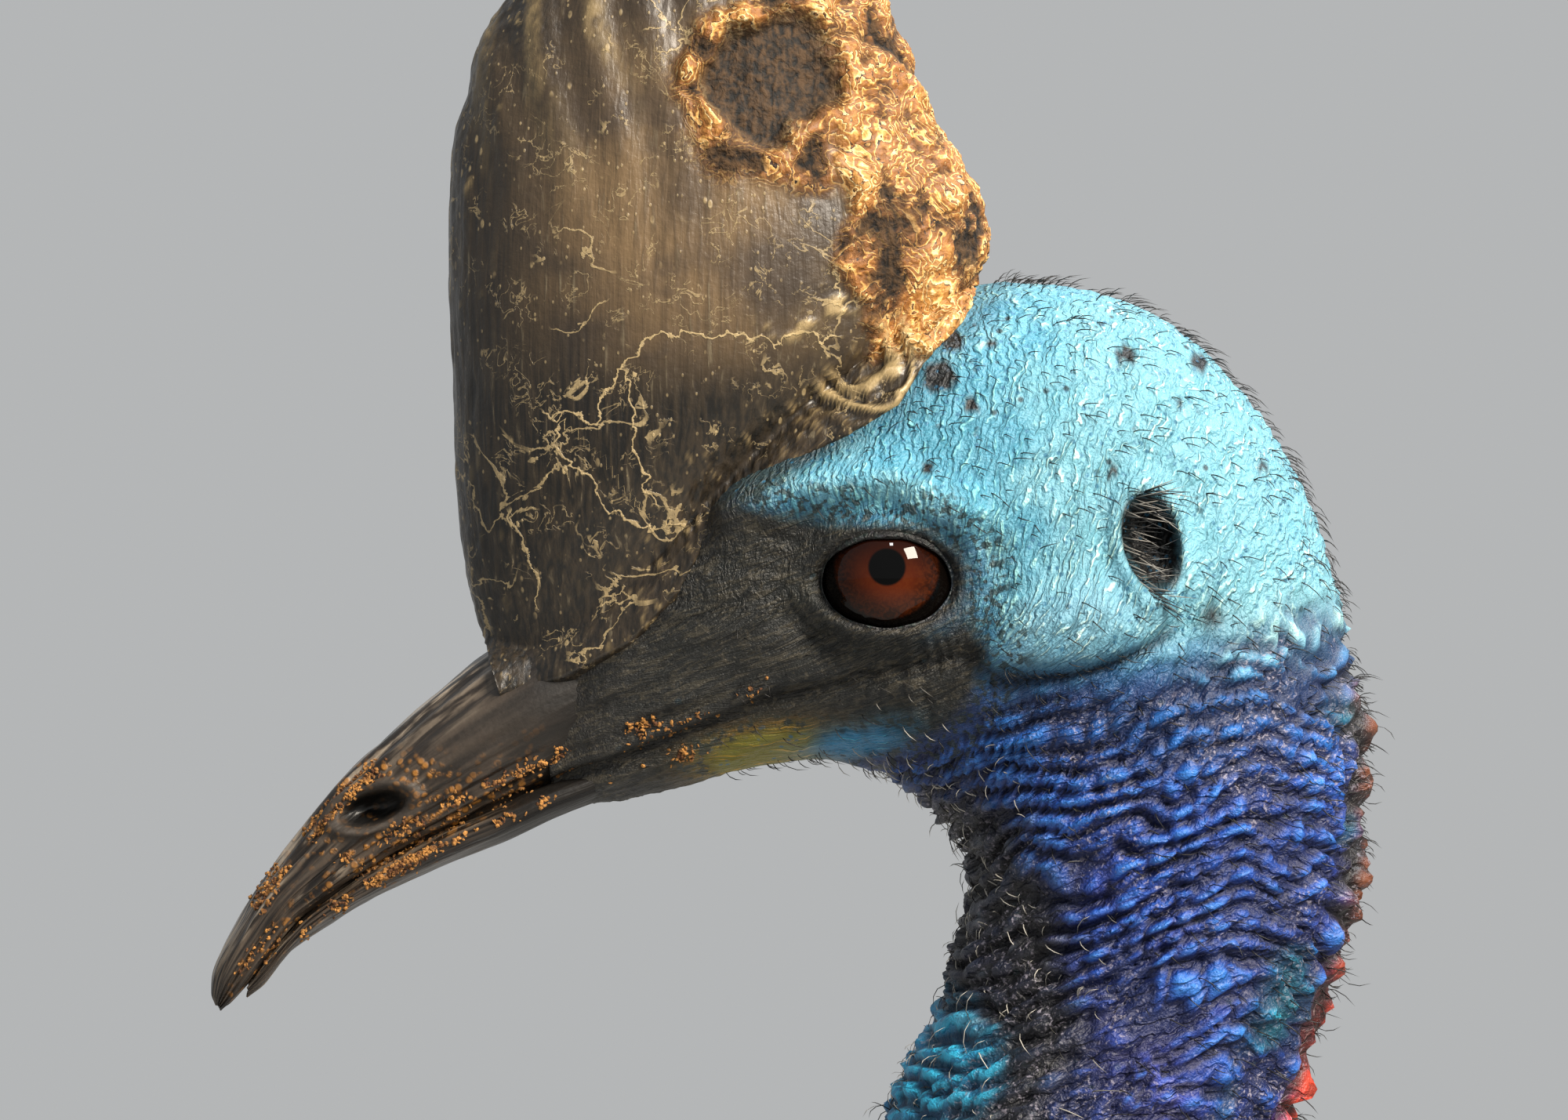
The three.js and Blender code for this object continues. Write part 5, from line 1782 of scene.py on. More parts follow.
@dataclass
class Casque:
    """Tall helmet of horn with a worn, flaky rear edge and a crater on its left side."""

    stations: tuple[tuple[float, ...], ...] = (
        (-64, -30, 0, 22, 13.5),
        (-69, -17, 8, 36, 16),
        (-74.5, 4, 15.8, 54, 22.5),
        (-76.3, 34, 15, 66, 24),
        (-77, 62, 7.5, 79, 22),
        (-73.5, 87, 1.5, 94, 18.5),
        (-65, 105, -4, 109, 14),
        (-52, 121.5, -10, 123, 9.5),
        (-38, 132, -19, 132.5, 5),
    )
    rows: int = 372
    columns: int = 262
    crater: Oval = Oval(-20.5, 86, 12.2, 14.0, -8)
    flaky: Line = Line(
        (
            (-24, 116), (-20, 101), (-9, 95), (-7, 84), (-9.5, 72), (-6.5, 62), (-10, 54), (-5, 46),
            (-2, 38), (8, 38), (24, 46), (24, 70), (16, 92), (8, 112), (-4, 120),
        )
    )
    ripples: Oval = Oval(-6.5, 39.5, 11, 8.5, -28)
    cracks: tuple[Line, ...] = (
        Line(((-59.6, 29.5), (-51.4, 26.7), (-45.9, 37.7), (-36.3, 41.8), (-18.5, 40.4), (-8, 42))),
        Line(((-59.6, 29.5), (-55.5, 18.5), (-49, 12), (-45.9, 10.3), (-34.9, 7.5))),
        Line(((-46, 36), (-44, 22), (-41, 11))),
        Line(((-66, 12), (-62, 4), (-60, -6))),
    )
    noise: Noise = field(default_factory=lambda: Noise(51))

    def base(self) -> np.ndarray:
        """Grid of points of the smooth surface, fitted to the skull at its foot.

        Returns:
            The grid.
        """
        run = Run(self.stations)
        turn = ring(self.columns)
        places, angles = crossed(np.linspace(0, run.last, self.rows), turn + 0.25 * np.sin(2 * turn))
        points = loft(run(places), angles)
        skull = TRUNK.at(*crossed(np.linspace(0, 5, 90), np.linspace(0, np.pi, 90)))
        skull = SideView(skull.reshape(-1, 3))
        x, z, half = points[..., 0], points[..., 2], np.abs(points[..., 1])
        depth = CASQUE_GROUND.depth(x, z)
        low = depth < 14
        skin = half.copy()
        skin[low] = skull.at(x[low], z[low])
        flush = np.maximum(half, skin + 0.9)
        half = half + (flush - half) * (1 - rise(depth, 2.5, 14))
        hidden = np.minimum(half, skin - 2.5)
        half = half + (hidden - half) * (1 - rise(depth, -3.5, -0.6))
        points[..., 1] = np.sign(points[..., 1]) * np.maximum(half, 0)
        return points

    def make(self, points: np.ndarray) -> None:
        """The casque with its flakes, ripples, cracks and fibres.

        Args:
            points: grid of the smooth surface.
        """
        normals = grid_normals(points)
        x, z = points[..., 0], points[..., 2]
        left = points[..., 1] < 0
        warp_x = x + 2.6 * self.noise.layered(points, 6, 3)
        warp_z = z + 2.6 * Noise(52).layered(points, 6, 3)
        rough = Noise(53).layered(points, 6.5, 5)
        flake = rise(self.flaky.depth(warp_x, warp_z), -1.4, 1.2)
        torn = Noise(60).layered(points, 11, 4)
        hole = oval(warp_x + 6 * torn, warp_z - 5 * torn, self.crater)
        rim = bump(hole - 1.12, 0.24) * left
        floor = (1 - rise(hole, 0.72, 1.0)) * left
        flake = np.clip(np.maximum(flake * (1 - floor), rim * 1.2), 0, 1)
        terraces = np.floor(5 * rough) / 5 + 0.25 * rise(5 * rough % 1, 0.7, 1.0)
        curl = Noise(54).cells(points / np.array([1, 1, 1.3]), 7.0)[0]
        flakes = flake * (1.5 * terraces + 1.3 * (curl - 0.35) + 0.9)
        ripple_gap = oval(warp_x, warp_z, self.ripples)
        aside = rise(0.8 * (x - self.ripples.x) - 0.9 * (z - self.ripples.z), -3, 3)
        ripples = 0.75 * np.cos(2 * np.pi * ripple_gap * 2.8) * bump(ripple_gap - 0.85, 0.55) * aside
        ripples = ripples + 0.7 * bump(ripple_gap, 0.7)
        clumps = Noise(67).layered(points, 2.4, 3)
        crust = bump(oval(warp_x, warp_z, Oval(-14, 46.5, 11, 3.6, 24)), 0.98) * rise(clumps, -0.1, 0.45)
        crack, near = np.full(x.shape, 20.0), np.zeros(x.shape)
        for line in self.cracks:
            gap, share = line.gap(x, z)
            inside = rise(share, 0, 0.04) * (1 - rise(share, 0.95, 1)) * (1 - rise(gap, 4, 6))
            near = np.where(gap < np.abs(crack), inside, near)
            crack = np.where(gap < np.abs(crack), line.side(x, z), crack)
        depth = CASQUE_GROUND.depth(x, z)
        foot = (1 - rise(depth, 2, 16)) * rise(x, -60, -38)
        fibre_coord = np.stack([(x + 0.5 * z) / 1.3, points[..., 1] / 1.3, (z - 0.5 * x) / 12], -1)
        fibres = Noise(55).layered(fibre_coord, 1.0, 3)
        scratches = Noise(56).layered(points / np.array([1, 1, 9.0]), 0.9, 3)
        flutes = np.sin(2 * np.pi * (x + 0.16 * z + 2 * self.noise.smooth(points, 18)) / 9.5)
        flutes = 0.42 * flutes * rise(z, 45, 85) * (1 - rise(x, -40, -22))
        front = 1 - rise(x - np.interp(z, (0, 34, 62, 87, 110), (-74.5, -76.3, -77, -73.5, -64)), 3, 12)
        height = flakes + ripples + 0.6 * rise(crust, 0.12, 0.6) + 0.55 * fibres * foot
        height = height + 0.16 * scratches * (1 + 1.5 * front) + flutes - 2.4 * floor
        height = height + 1.2 * floor * rough + 0.35 * Noise(59).layered(points, 22, 3)
        height = height * rise(self.rows - 1 - np.arange(self.rows), 0, 3)[:, None]
        shown = rise(depth, -2, 0.5)
        points = points + normals * (height * shown)[..., None]
        window = bump(oval(x + 3 * rough, z, Oval(-33, 68, 27, 34, 0)), 1.0) * (1 - rise(-z, -42, -28))
        window = np.clip(1.35 * window, 0, 1) * (1 - flake) + 0.35 * foot * rise(fibres, -0.3, 0.5)
        bands = np.sin(2 * np.pi * (x + 0.16 * z + 4 * Noise(66).smooth(points, 16)) / 12)
        sheen = rise(bands, 0.1, 1.0) * rise(z + 8 * rough, 62, 105) * (1 - rise(x, -54, -38))
        # Pale marks: fibres, scratches, ripple crests and crust, and the sheen bands, which are a painted
        # highlight.
        pale = (
            0.55 * rise(fibres, 0.25, 0.7) * foot,
            0.6 * rise(scratches, 0.42, 0.75) * front,
            0.75 * rise(ripples, 0.15, 0.7) * rise(ripple_gap, 0.55, 0.8),
            0.6 * rise(crust, 0.15, 0.6),
            0.42 * sheen * rise(scratches, -0.6, 0.5),
        )
        # Dark crater floor, and painted shade in the low terraces between the flakes.
        crater_floor_and_shade = np.maximum(floor, rise(-(terraces + 0.5 * curl), -0.05, 0.3) * flake)
        piece = make_piece("casque_horn", *closed_tube(points))
        marking = np.stack([flake, np.clip(window, 0, 1), np.maximum.reduce(pale)], -1)
        store(piece, "Marking", Store.COLOUR, with_ends(marking))
        store(piece, "Relief", Store.NUMBER, with_ends(0.6 * terraces + 0.5 * curl))
        store(piece, "Crack", Store.VECTOR, with_ends(np.stack([crack, near, crater_floor_and_shade], -1)))
        store(piece, "Grain", Store.VECTOR, with_ends(points / np.array([1.0, 1.0, 13.0])))
        hand_over(piece, "casque", "casque", finish=HornFinish().make())


@dataclass
class Bill:
    """Upper and lower bill with nostrils, grooves and crumbs of dry earth along the mouth."""

    upper: tuple[tuple[float, ...], ...] = (
        (-47, 0, -47, -31, 10.5),
        (-55, -4.5, -54, -35, 12.2),
        (-63.4, -9.2, -59.9, -37.7, 13),
        (-72, -14.5, -66, -40.5, 12.6),
        (-80, -21, -73, -43.8, 11.8),
        (-88, -28.3, -81, -47.2, 10.8),
        (-96, -35.7, -89, -51.6, 9.8),
        (-103, -44.2, -96, -55.6, 8.8),
        (-109.5, -53, -102.8, -59.8, 7.5),
        (-114.6, -61.4, -107.8, -65.6, 6),
        (-118, -68, -112, -71, 4.3),
        (-118.6, -72.6, -115.2, -74.4, 2.4),
        (-117.9, -74.9, -116.9, -75.4, 0.7),
    )
    lower: tuple[tuple[float, ...], ...] = (
        (-44, -29.6, -44, -36.6, 8.5),
        (-59.2, -35.4, -58.6, -42.4, 10.9),
        (-66.4, -38.5, -69, -47.2, 10.6),
        (-74, -42, -79, -51, 9.5),
        (-83, -46.2, -89, -55.7, 8.2),
        (-90.3, -50.2, -97, -60.3, 7.1),
        (-100.4, -57.4, -104.3, -65.3, 5.3),
        (-107.2, -64.6, -109.4, -71.4, 3.3),
        (-112, -71.2, -112.4, -73.6, 1.4),
    )
    rows: int = 190
    columns: int = 132
    nostril: Oval = Oval(-90.0, -40.4, 6.2, 2.9, 19)
    swelling: Oval = Oval(-66, -25.6, 17, 5.6, 23)
    aside: float = 3.0
    crumbs: int = 3400
    crumb_lines: tuple[tuple[tuple[float, float], ...], ...] = (
        ((-113, -69), (-103, -58), (-92, -51), (-78, -43.5), (-64, -38), (-46, -30), (-22, -20)),
        ((-104, -54), (-92, -48), (-76, -39.5), (-58, -31.5), (-40, -25)),
        ((-111, -58), (-104, -48.5), (-97, -40.5), (-89, -33)),
        ((-92, -53), (-79, -46.5), (-60, -39.5), (-34, -30.5)),
        ((-103, -63), (-92, -54), (-81, -48)),
    )
    noise: Noise = field(default_factory=lambda: Noise(61))

    def half_bill(self, is_upper: bool) -> np.ndarray:
        """One half of the bill.

        Args:
            is_upper: whether it is the upper half, which has the nostrils.

        Returns:
            Its grid of points.
        """
        run = Run(self.upper if is_upper else self.lower)
        turn = ring(self.columns)
        place = np.linspace(0, run.last, self.rows if is_upper else self.rows // 2)
        places, angles = crossed(place, turn + 0.2 * np.sin(2 * turn))
        points = loft(run(places), angles)
        normals = grid_normals(points)
        x, z = points[..., 0], points[..., 2]
        runs = np.broadcast_to(travelled(points.mean(1))[:, None], places.shape)
        grain = np.stack([runs / 13, 5.5 * np.cos(angles), 5.5 * np.sin(angles)], -1)
        streak = self.noise.layered(grain, 1.0, 3)
        from_top, free = from_zero(angles), rise(places, 1.6, 3.2)
        height = 0.42 * streak * (0.3 + 0.7 * free) + 0.2 * Noise(62).layered(points, 7, 3)
        worn = np.clip(bump(from_top, 0.75) + 0.5 * rise(streak, 0.2, 0.6), 0, 1) * free
        plain = 0.6 - 0.6 * rise(places + 0.5 * streak, 1.2, 2.8)
        # Hole: near black inside the nostrils and towards the bill's rear end where it meets the skin,
        # painted shade in both.
        hole = 0.85 * (1 - rise(places + 0.4 * streak, 1.1, 3.4))
        if is_upper:
            groove = bump(from_top - 0.55, 0.12) + 0.8 * bump(from_top - 0.98, 0.1)
            groove = (groove - 0.5 * bump(from_top - 0.76, 0.1)) * free * (1 - rise(places, 7, 8.6))
            swell = bump(oval(x, z, self.swelling), 0.95)
            height = height * (1 - 0.85 * swell) + 1.15 * swell - 0.75 * groove * (1 - swell)
            ribs = np.sin(2 * np.pi * (from_top + 0.05 * streak) / 0.24) * bump((from_top - 2.2) / 0.6, 1)
            height = height + 0.55 * bump(from_top - 2.25, 0.16) * free + 0.42 * ribs * free
            grime = 0.9 * bump(from_top - 2.5, 0.42)
            grime = grime + 0.45 * bump(from_top - 1.75, 0.25) * rise(streak, -0.2, 0.4)
            rim = oval(x, z, self.nostril)
            height = height + 0.95 * bump(rim - 1.28, 0.2) * (np.abs(points[..., 1]) > self.aside)
            grime = np.maximum(grime, 0.8 * bump(rim - 2.0, 0.7))
            worn = worn * (1 - 0.7 * swell) * (1 - 0.8 * bump(rim - 1.2, 0.4))
            plain = np.maximum.reduce([plain, 0.85 * swell, bump(rim - 1.15, 0.5)])
            points, inside = self.open_nostril(points + normals * height[..., None])
            hole = np.maximum(hole, inside)
        else:
            grime = 0.75 * (1 - rise(from_top, 0.5, 1.3)) + 0.3 * rise(streak, 0, 0.5)
            points = points + normals * height[..., None]
        half = "upper" if is_upper else "lower"
        piece = make_piece(f"{half}_bill", *closed_tube(points))
        store(piece, "Grain", Store.VECTOR, with_ends(grain * 1.3))
        grime = np.clip(grime * free, 0, 1)
        for title, values in {"Worn": worn, "Rear": plain, "Hole": hole, "Grime": grime}.items():
            store(piece, title, Store.NUMBER, with_ends(values))
        hand_over(piece, f"bill_{half}", f"bill_{half}", finish=self.finish)
        return points

    def open_nostril(self, points: np.ndarray) -> tuple[np.ndarray, np.ndarray]:
        """Points with the nostrils let in, and how far each is inside one.

        Args:
            points: grid of points.

        Returns:
            The moved points, and shares from 0 to 1.
        """
        x, y, z = np.moveaxis(points, -1, 0)
        half, around = np.abs(y), oval(x, z, self.nostril)
        edge = 0.93 + 0.07 * (around - 0.8) / 0.2
        near = half > self.aside
        pull = np.where((around > 0.8) & (around < 1.0) & near, edge / np.maximum(around, 0.1), 1.0)
        x, z = self.nostril.pulled(x, z, pull)
        around = oval(x, z, self.nostril)
        let_in = np.where(near, 5.5 * np.sqrt(np.clip(1 - around, 0, 1)), 0)
        return np.stack([x, np.sign(y) * (half - let_in), z], -1), (1 - rise(around, 0.86, 1.02)) * near

    def make(self, skin: np.ndarray) -> None:
        """Both halves and the crumbs.

        Args:
            skin: grid of points of the head's skin, on which some crumbs lie.
        """
        self.finish = BillFinish().make()
        grids = (self.half_bill(True), self.half_bill(False), skin[:150])
        shown = np.vstack([grid.reshape(-1, 3) for grid in grids])
        self.make_crumbs(shown[shown[:, 0] < 0])

    def make_crumbs(self, shown: np.ndarray) -> None:
        """Crumbs on the mouth line of both sides, made by Geometry Nodes.

        Args:
            shown: points of the surfaces that they lie on.
        """
        draw = np.random.default_rng(71)
        spots = []
        for points in self.crumb_lines:
            line = np.array(points, float)
            along = draw.random(self.crumbs // len(self.crumb_lines)) * (len(line) - 1)
            index = np.minimum(along.astype(int), len(line) - 2)
            spots.append(line[index] + (line[index + 1] - line[index]) * (along - index)[:, None])
        spot = np.vstack(spots)
        cluster = Noise(72).smooth(np.stack([spot[:, 0], spot[:, 1], 0 * spot[:, 0]], -1), 4.0)
        keep = cluster + 0.5 * draw.random(len(spot)) > 0.3
        spot = spot + draw.normal(0, 0.8, spot.shape) + np.array([0.3, 0.4])
        roots = []
        for side in SIDES.values():
            view = SideView(shown[shown[:, 1] * side > 0])
            half = view.at(spot[:, 0], spot[:, 1])
            roots.append(np.stack([spot[:, 0], side * half, spot[:, 1]], -1)[keep])
        settings = {"Size": 0.00032, "Spread": 0.85, "Seed": 7}
        piece = scatter("dry_earth_crumbs", np.vstack(roots), CrumbFinish().make(), settings)
        hand_over(piece, "bill_upper")


def scatter(
    name: str, roots: np.ndarray, finish: bpy.types.Material, settings: dict[str, float]
) -> bpy.types.Object:
    """Small uneven lumps on points, made by a Geometry Nodes tree.

    Args:
        name: piece's name.
        roots: places of the lumps.
        finish: their material.
        settings: the tree's inputs: Size and Spread of the lumps, and the Seed.

    Returns:
        A plain mesh.
    """
    carrier = make_piece(name, roots, [])
    tree = bpy.data.node_groups.new(name, "GeometryNodeTree")
    face = tree.interface
    face.new_socket("Geometry", in_out="INPUT", socket_type="NodeSocketGeometry")
    kinds = {"Size": "NodeSocketFloat", "Spread": "NodeSocketFloat", "Seed": "NodeSocketInt"}
    sockets = {
        title: face.new_socket(title, in_out="INPUT", socket_type=kind) for title, kind in kinds.items()
    }
    face.new_socket("Geometry", in_out="OUTPUT", socket_type="NodeSocketGeometry")
    g = Nodes(tree)
    given = g.node("NodeGroupInput").socket.node.outputs
    size, spread, seed = (Value(g, given[title]) for title in kinds)
    vector = {"data_type": "FLOAT_VECTOR"}
    limits = {0: size * (1 - spread), 1: size * spread + size, "Seed": seed}
    scale = g.node("FunctionNodeRandomValue", vector, limits)
    turn = g.node("FunctionNodeRandomValue", vector, {1: (math.tau,) * 3, "Seed": seed})
    points = g.node("GeometryNodeMeshToPoints", {}, {"Mesh": Value(g, given["Geometry"])})
    lump = g.node("GeometryNodeMeshIcoSphere", {}, {"Radius": 1, "Subdivisions": 1})
    inputs = {"Points": points, "Instance": lump, "Rotation": turn, "Scale": scale}
    lumps = g.node("GeometryNodeInstanceOnPoints", {}, inputs)
    real = g.node("GeometryNodeRealizeInstances", {}, {"Geometry": lumps})
    dressed = g.node("GeometryNodeSetMaterial", {}, {"Geometry": real, "Material": finish})
    g.node("NodeGroupOutput", {}, {"Geometry": dressed})
    modifier = carrier.modifiers.new("scatter", "NODES")
    modifier.node_group = tree
    for title, value in settings.items():
        modifier[sockets[title].identifier] = value
    modified(carrier).name = name
    return carrier


@dataclass
class Strands:
    """Tapered closed strands, three-sided, from paths of points."""

    paths: np.ndarray
    out: np.ndarray
    widths: np.ndarray
    thick: np.ndarray
    roots: np.ndarray
    shade: np.ndarray
    limit: int = 190_000

    def make(self, name: str, finish: bpy.types.Material, slot: str) -> None:
        """Pieces of at most the limit of triangles each.

        Args:
            name: first part of the pieces' names.
            finish: their material.
            slot: the record's material slot.
        """
        count, rings = self.paths.shape[:2]
        each = 6 * (rings - 2) + 4
        share = max(1, math.ceil(count * each / self.limit))
        for i, chosen in enumerate(np.array_split(np.arange(count), share)):
            piece = self.piece(f"{name}_{i + 1}" if share > 1 else name, chosen)
            hand_over(piece, slot, finish=finish)

    def piece(self, name: str, chosen: np.ndarray) -> bpy.types.Object:
        """One mesh of some of the strands, with its bake map.

        Args:
            name: piece's name.
            chosen: numbers of its strands.

        Returns:
            The piece.
        """
        paths, out = self.paths[chosen], self.out[chosen]
        count, rings = paths.shape[:2]
        side = unit(np.cross(np.gradient(paths, axis=1), out), 1e-9)
        half = side * (self.widths[chosen] / 2)[..., None]
        ridge = out * self.thick[chosen][..., None]
        corners = np.stack([paths - half, paths + ridge, paths + half], 2)[:, :-1]
        points = np.concatenate([corners.reshape(count, -1, 3), paths[:, -1:]], 1)
        size = points.shape[1]
        k, c = crossed(np.arange(rings - 2), np.arange(3))
        a, b = 3 * k + c, 3 * k + (c + 1) % 3
        quads = np.stack([a, b, b + 3, a + 3], -1).reshape(-1, 4)
        last = 3 * (rings - 2)
        ends = np.array([*([last + c, last + (c + 1) % 3, size - 1] for c in range(3)), [0, 2, 1]])
        start = (np.arange(count) * size)[:, None, None]
        faces = [(quads + start).reshape(-1, 4), (ends + start).reshape(-1, 3)]
        middle = np.repeat(corners.mean(2)[:, :-1], 3, axis=1)
        piece = make_piece(name, points.reshape(-1, 3), turned_out(faces, points[:, quads], middle))
        along = np.append(np.repeat(np.arange(rings - 1) / (rings - 1), 3), 1.0)
        across = np.append(np.tile([0, 0.5, 1], rings - 1), 0.5)
        patch = 0.003 * np.stack([along, across], -1)
        spots = (self.roots[chosen][:, None] + patch[None]).reshape(-1, 2)
        layer = piece.data.uv_layers.new(name="OFBake")
        corner_points = np.empty(len(piece.data.loops), np.int32)
        piece.data.loops.foreach_get("vertex_index", corner_points)
        layer.data.foreach_set("uv", spots[corner_points].astype(np.float32).ravel())
        shade = np.repeat(self.shade[chosen][:, None], size, axis=1)
        shade[..., 1] = along
        store(piece, "Strand", Store.COLOUR, shade.reshape(-1, 3))
        return piece


def unwrapped(place: np.ndarray, angle: np.ndarray, low: float, high: float) -> np.ndarray:
    """Places on the skin's own unwrap: angle across, run up between two levels."""
    across = 0.005 + 0.985 * (angle % (2 * np.pi)) / (2 * np.pi)
    return np.stack([across, low + (high - low) * place], -1)


def step_over(
    surface: Callable, u: np.ndarray, v: np.ndarray, want: np.ndarray, length: np.ndarray
) -> tuple[np.ndarray, np.ndarray, np.ndarray, np.ndarray]:
    """A step over a surface towards a wanted direction.

    Args:
        surface: points from two places and a lift.
        u: first places.
        v: second places.
        want: wanted directions.
        length: lengths of the step.

    Returns:
        Directions along and out of the surface, and the steps of the two places.
    """
    tiny = 1e-3
    here = surface(u, v, 0)
    along_u = (surface(u + tiny, v, 0) - here) / tiny
    along_v = (surface(u, v + tiny, 0) - here) / tiny
    out = unit(surface(u, v, 1.0) - here)
    way = unit(want - out * np.sum(want * out, -1, keepdims=True), 1e-6)
    uu, uv, vv = (np.sum(p * q, -1) for p, q in ((along_u, along_u), (along_u, along_v), (along_v, along_v)))
    wu, wv = np.sum(way * along_u, -1), np.sum(way * along_v, -1)
    scale = length / (uu * vv - uv * uv + 1e-6)
    return way, out, (wu * vv - wv * uv) * scale, (wv * uu - wu * uv) * scale


@dataclass
class Plumage:
    """Long, coarse, hair-like feathers of the body and the thighs."""

    legs: Legs
    finish: bpy.types.Material
    spacing: float = 6.2
    thigh_spacing: float = 7.0
    steps: int = 6

    def grow(
        self, surface: Callable, u: np.ndarray, v: np.ndarray, form: dict[str, Callable | np.ndarray | float]
    ) -> tuple[np.ndarray, np.ndarray]:
        """Paths that rise from the skin to the outside of the coat and then hang.

        Args:
            surface: points from two places and a lift.
            u: first places of the roots.
            v: second places of the roots.
            form: want, length, depth, hang, last, loose and stray of the strands.

        Returns:
            Paths and directions out of the surface.
        """
        spots, outs = [], []
        spot = None
        length = form["length"] / self.steps
        for i in range(self.steps + 1):
            t = i / self.steps
            way, out, du, dv = step_over(surface, u, v, form["want"](t), length)
            resting = surface(u, v, -(form["depth"] + 1.5) * (1 - t) ** 1.15 + form["stray"] * t)
            if spot is not None:
                leave = rise(u, form["last"] - form["loose"], form["last"])
                hang = form["hang"][:, None]
                free = spot + unit(way * (1 - hang) + np.array([0, 0, -1]) * hang) * length[:, None]
                share = np.maximum(np.where(u >= form["last"], 1.0, form["hang"] * t), leave)[:, None]
                resting = resting * (1 - share) + free * share
            spot = resting
            spots.append(spot)
            outs.append(out)
            u = np.minimum(form["last"], u + du)
            v = v + dv
        return np.stack(spots, 1), np.stack(outs, 1)

    def strands(
        self,
        grown: tuple[np.ndarray, np.ndarray],
        width: np.ndarray,
        roots: np.ndarray,
        draw: np.random.Generator,
    ) -> Strands:
        """Strands of a width along grown paths, with a shade drawn for each.

        Args:
            grown: paths, and directions out of the surface.
            width: width of each.
            roots: their places on the bake map.
            draw: the coat's random draws.

        Returns:
            The strands.
        """
        t = np.linspace(0, 1, self.steps + 1)
        widths = width[:, None] * np.interp(t, (0, 0.18, 0.6, 0.85, 1), (0.5, 1, 0.85, 0.45, 0.0))
        shade = np.zeros((len(width), 3))
        shade[:, 0] = draw.random(len(width))
        return Strands(*grown, widths, 0.55 + 0 * widths, roots, shade)

    def body(self) -> None:
        """Coat of the torso and the tail."""
        draw = np.random.default_rng(83)
        fine = np.linspace(CUT["neck_base"] - 0.12, CUT["tail_end"] - 0.05, 900)
        run = TRUNK.travelled(fine)
        roots_u, roots_v = [], []
        distance = 0.0
        while distance < run[-1]:
            place = np.interp(distance, run, fine)
            ax, az, bx, bz, half = TRUNK.run(place)
            girth = math.pi * (half + math.hypot(ax - bx, az - bz) / 2)
            count = max(8, round(girth / self.spacing))
            turn = 2 * np.pi * (np.arange(count) + draw.random(count) * 0.9) / count
            roots_u.append(place + draw.normal(0, 0.03, count))
            roots_v.append(turn)
            distance += self.spacing
        u, v = np.concatenate(roots_u), np.concatenate(roots_v)
        u = np.clip(u, CUT["neck_base"] - 0.15, CUT["tail_end"] - 0.02)
        size = np.minimum(1, 0.16 + 0.3 * np.clip(u - CUT["neck_base"], 0, 4))
        rear, droop = rise(u, CUT["breast"], CUT["rump"]), rise(u, CUT["rump"], CUT["tail_end"])
        low = rise(from_zero(v), 1.5, 2.4)
        wander = 0.22 * np.stack([Noise(84 + i).smooth(TRUNK.at(u, v), 60) for i in range(3)], -1)
        wander = (wander + draw.normal(0, 0.07, wander.shape)) * (1 + 2.5 * droop[:, None])
        fall = 0.42 + 0.7 * rear + 1.6 * droop + 0.15 * draw.random(len(u))
        length = 215 * size * (1 + 0.12 * low) * (1 - 0.45 * droop**2)
        form = {
            "want": lambda t: np.array([1, 0, 0]) + wander - np.outer(fall * (1 + 0.5 * t), (0, 0, 1)),
            "length": length * (0.75 + 0.4 * draw.random(len(u))),
            "depth": coat_depth(u) * (0.9 + 0.1 * draw.random(len(u))),
            "hang": np.clip(np.maximum.reduce([0.62 * low, 0.4 * rear * (1 - low), 0.7 * droop]), 0, 1),
            "stray": draw.normal(-3.5, 3.6, len(u)) * np.minimum(1, size * 1.5),
            "last": CUT["tail_end"],
            "loose": 1.1,
        }
        grown = self.grow(TRUNK.at, u, v, form)
        width = (2.2 + 3.6 * size) * (0.7 + 0.6 * draw.random(len(u)))
        roots = unwrapped((u - CUT["neck_base"] + 0.2) / 8.4, v, 0.02, 0.72)
        self.strands(grown, width, roots, draw).make("body_feathers", self.finish, "torso")

    def thighs(self) -> None:
        """Coat of both thighs."""
        for name in SIDES:
            draw = np.random.default_rng(89)
            run = self.legs.stood(self.legs.thigh, name)
            rows = int(250 / self.thigh_spacing)
            columns = int(430 / self.thigh_spacing)
            u, v = crossed(np.linspace(0.25, 2.9, rows), ring(columns))
            u = (u + draw.normal(0, 0.03, u.shape)).ravel()
            v = (v + draw.normal(0, 0.05, v.shape)).ravel()
            form = {
                "want": lambda t: np.array([0.12, 0, -1.0]) + np.zeros((len(u), 3)),
                "length": (104 - 14 * u) * (0.75 + 0.4 * draw.random(len(u))),
                "depth": np.full(len(u), self.legs.thigh_coat),
                "hang": np.full(len(u), 0.3),
                "stray": draw.normal(-1.5, 2.4, len(u)),
                "last": run.last,
                "loose": 0.3,
            }
            grown = self.grow(partial(limb_points, run), u, v, form)
            level = 0.74 if name == "left" else 0.87
            roots = unwrapped(u / 3.2, v, level, level + 0.11)
            width = 4.2 * (0.7 + 0.6 * draw.random(len(u)))
            strands = self.strands(grown, width, roots, draw)
            strands.make(f"thigh_feathers_{name}", self.finish, f"thigh_{name}")

    def make(self) -> None:
        """The whole coat."""
        self.body()
        self.thighs()


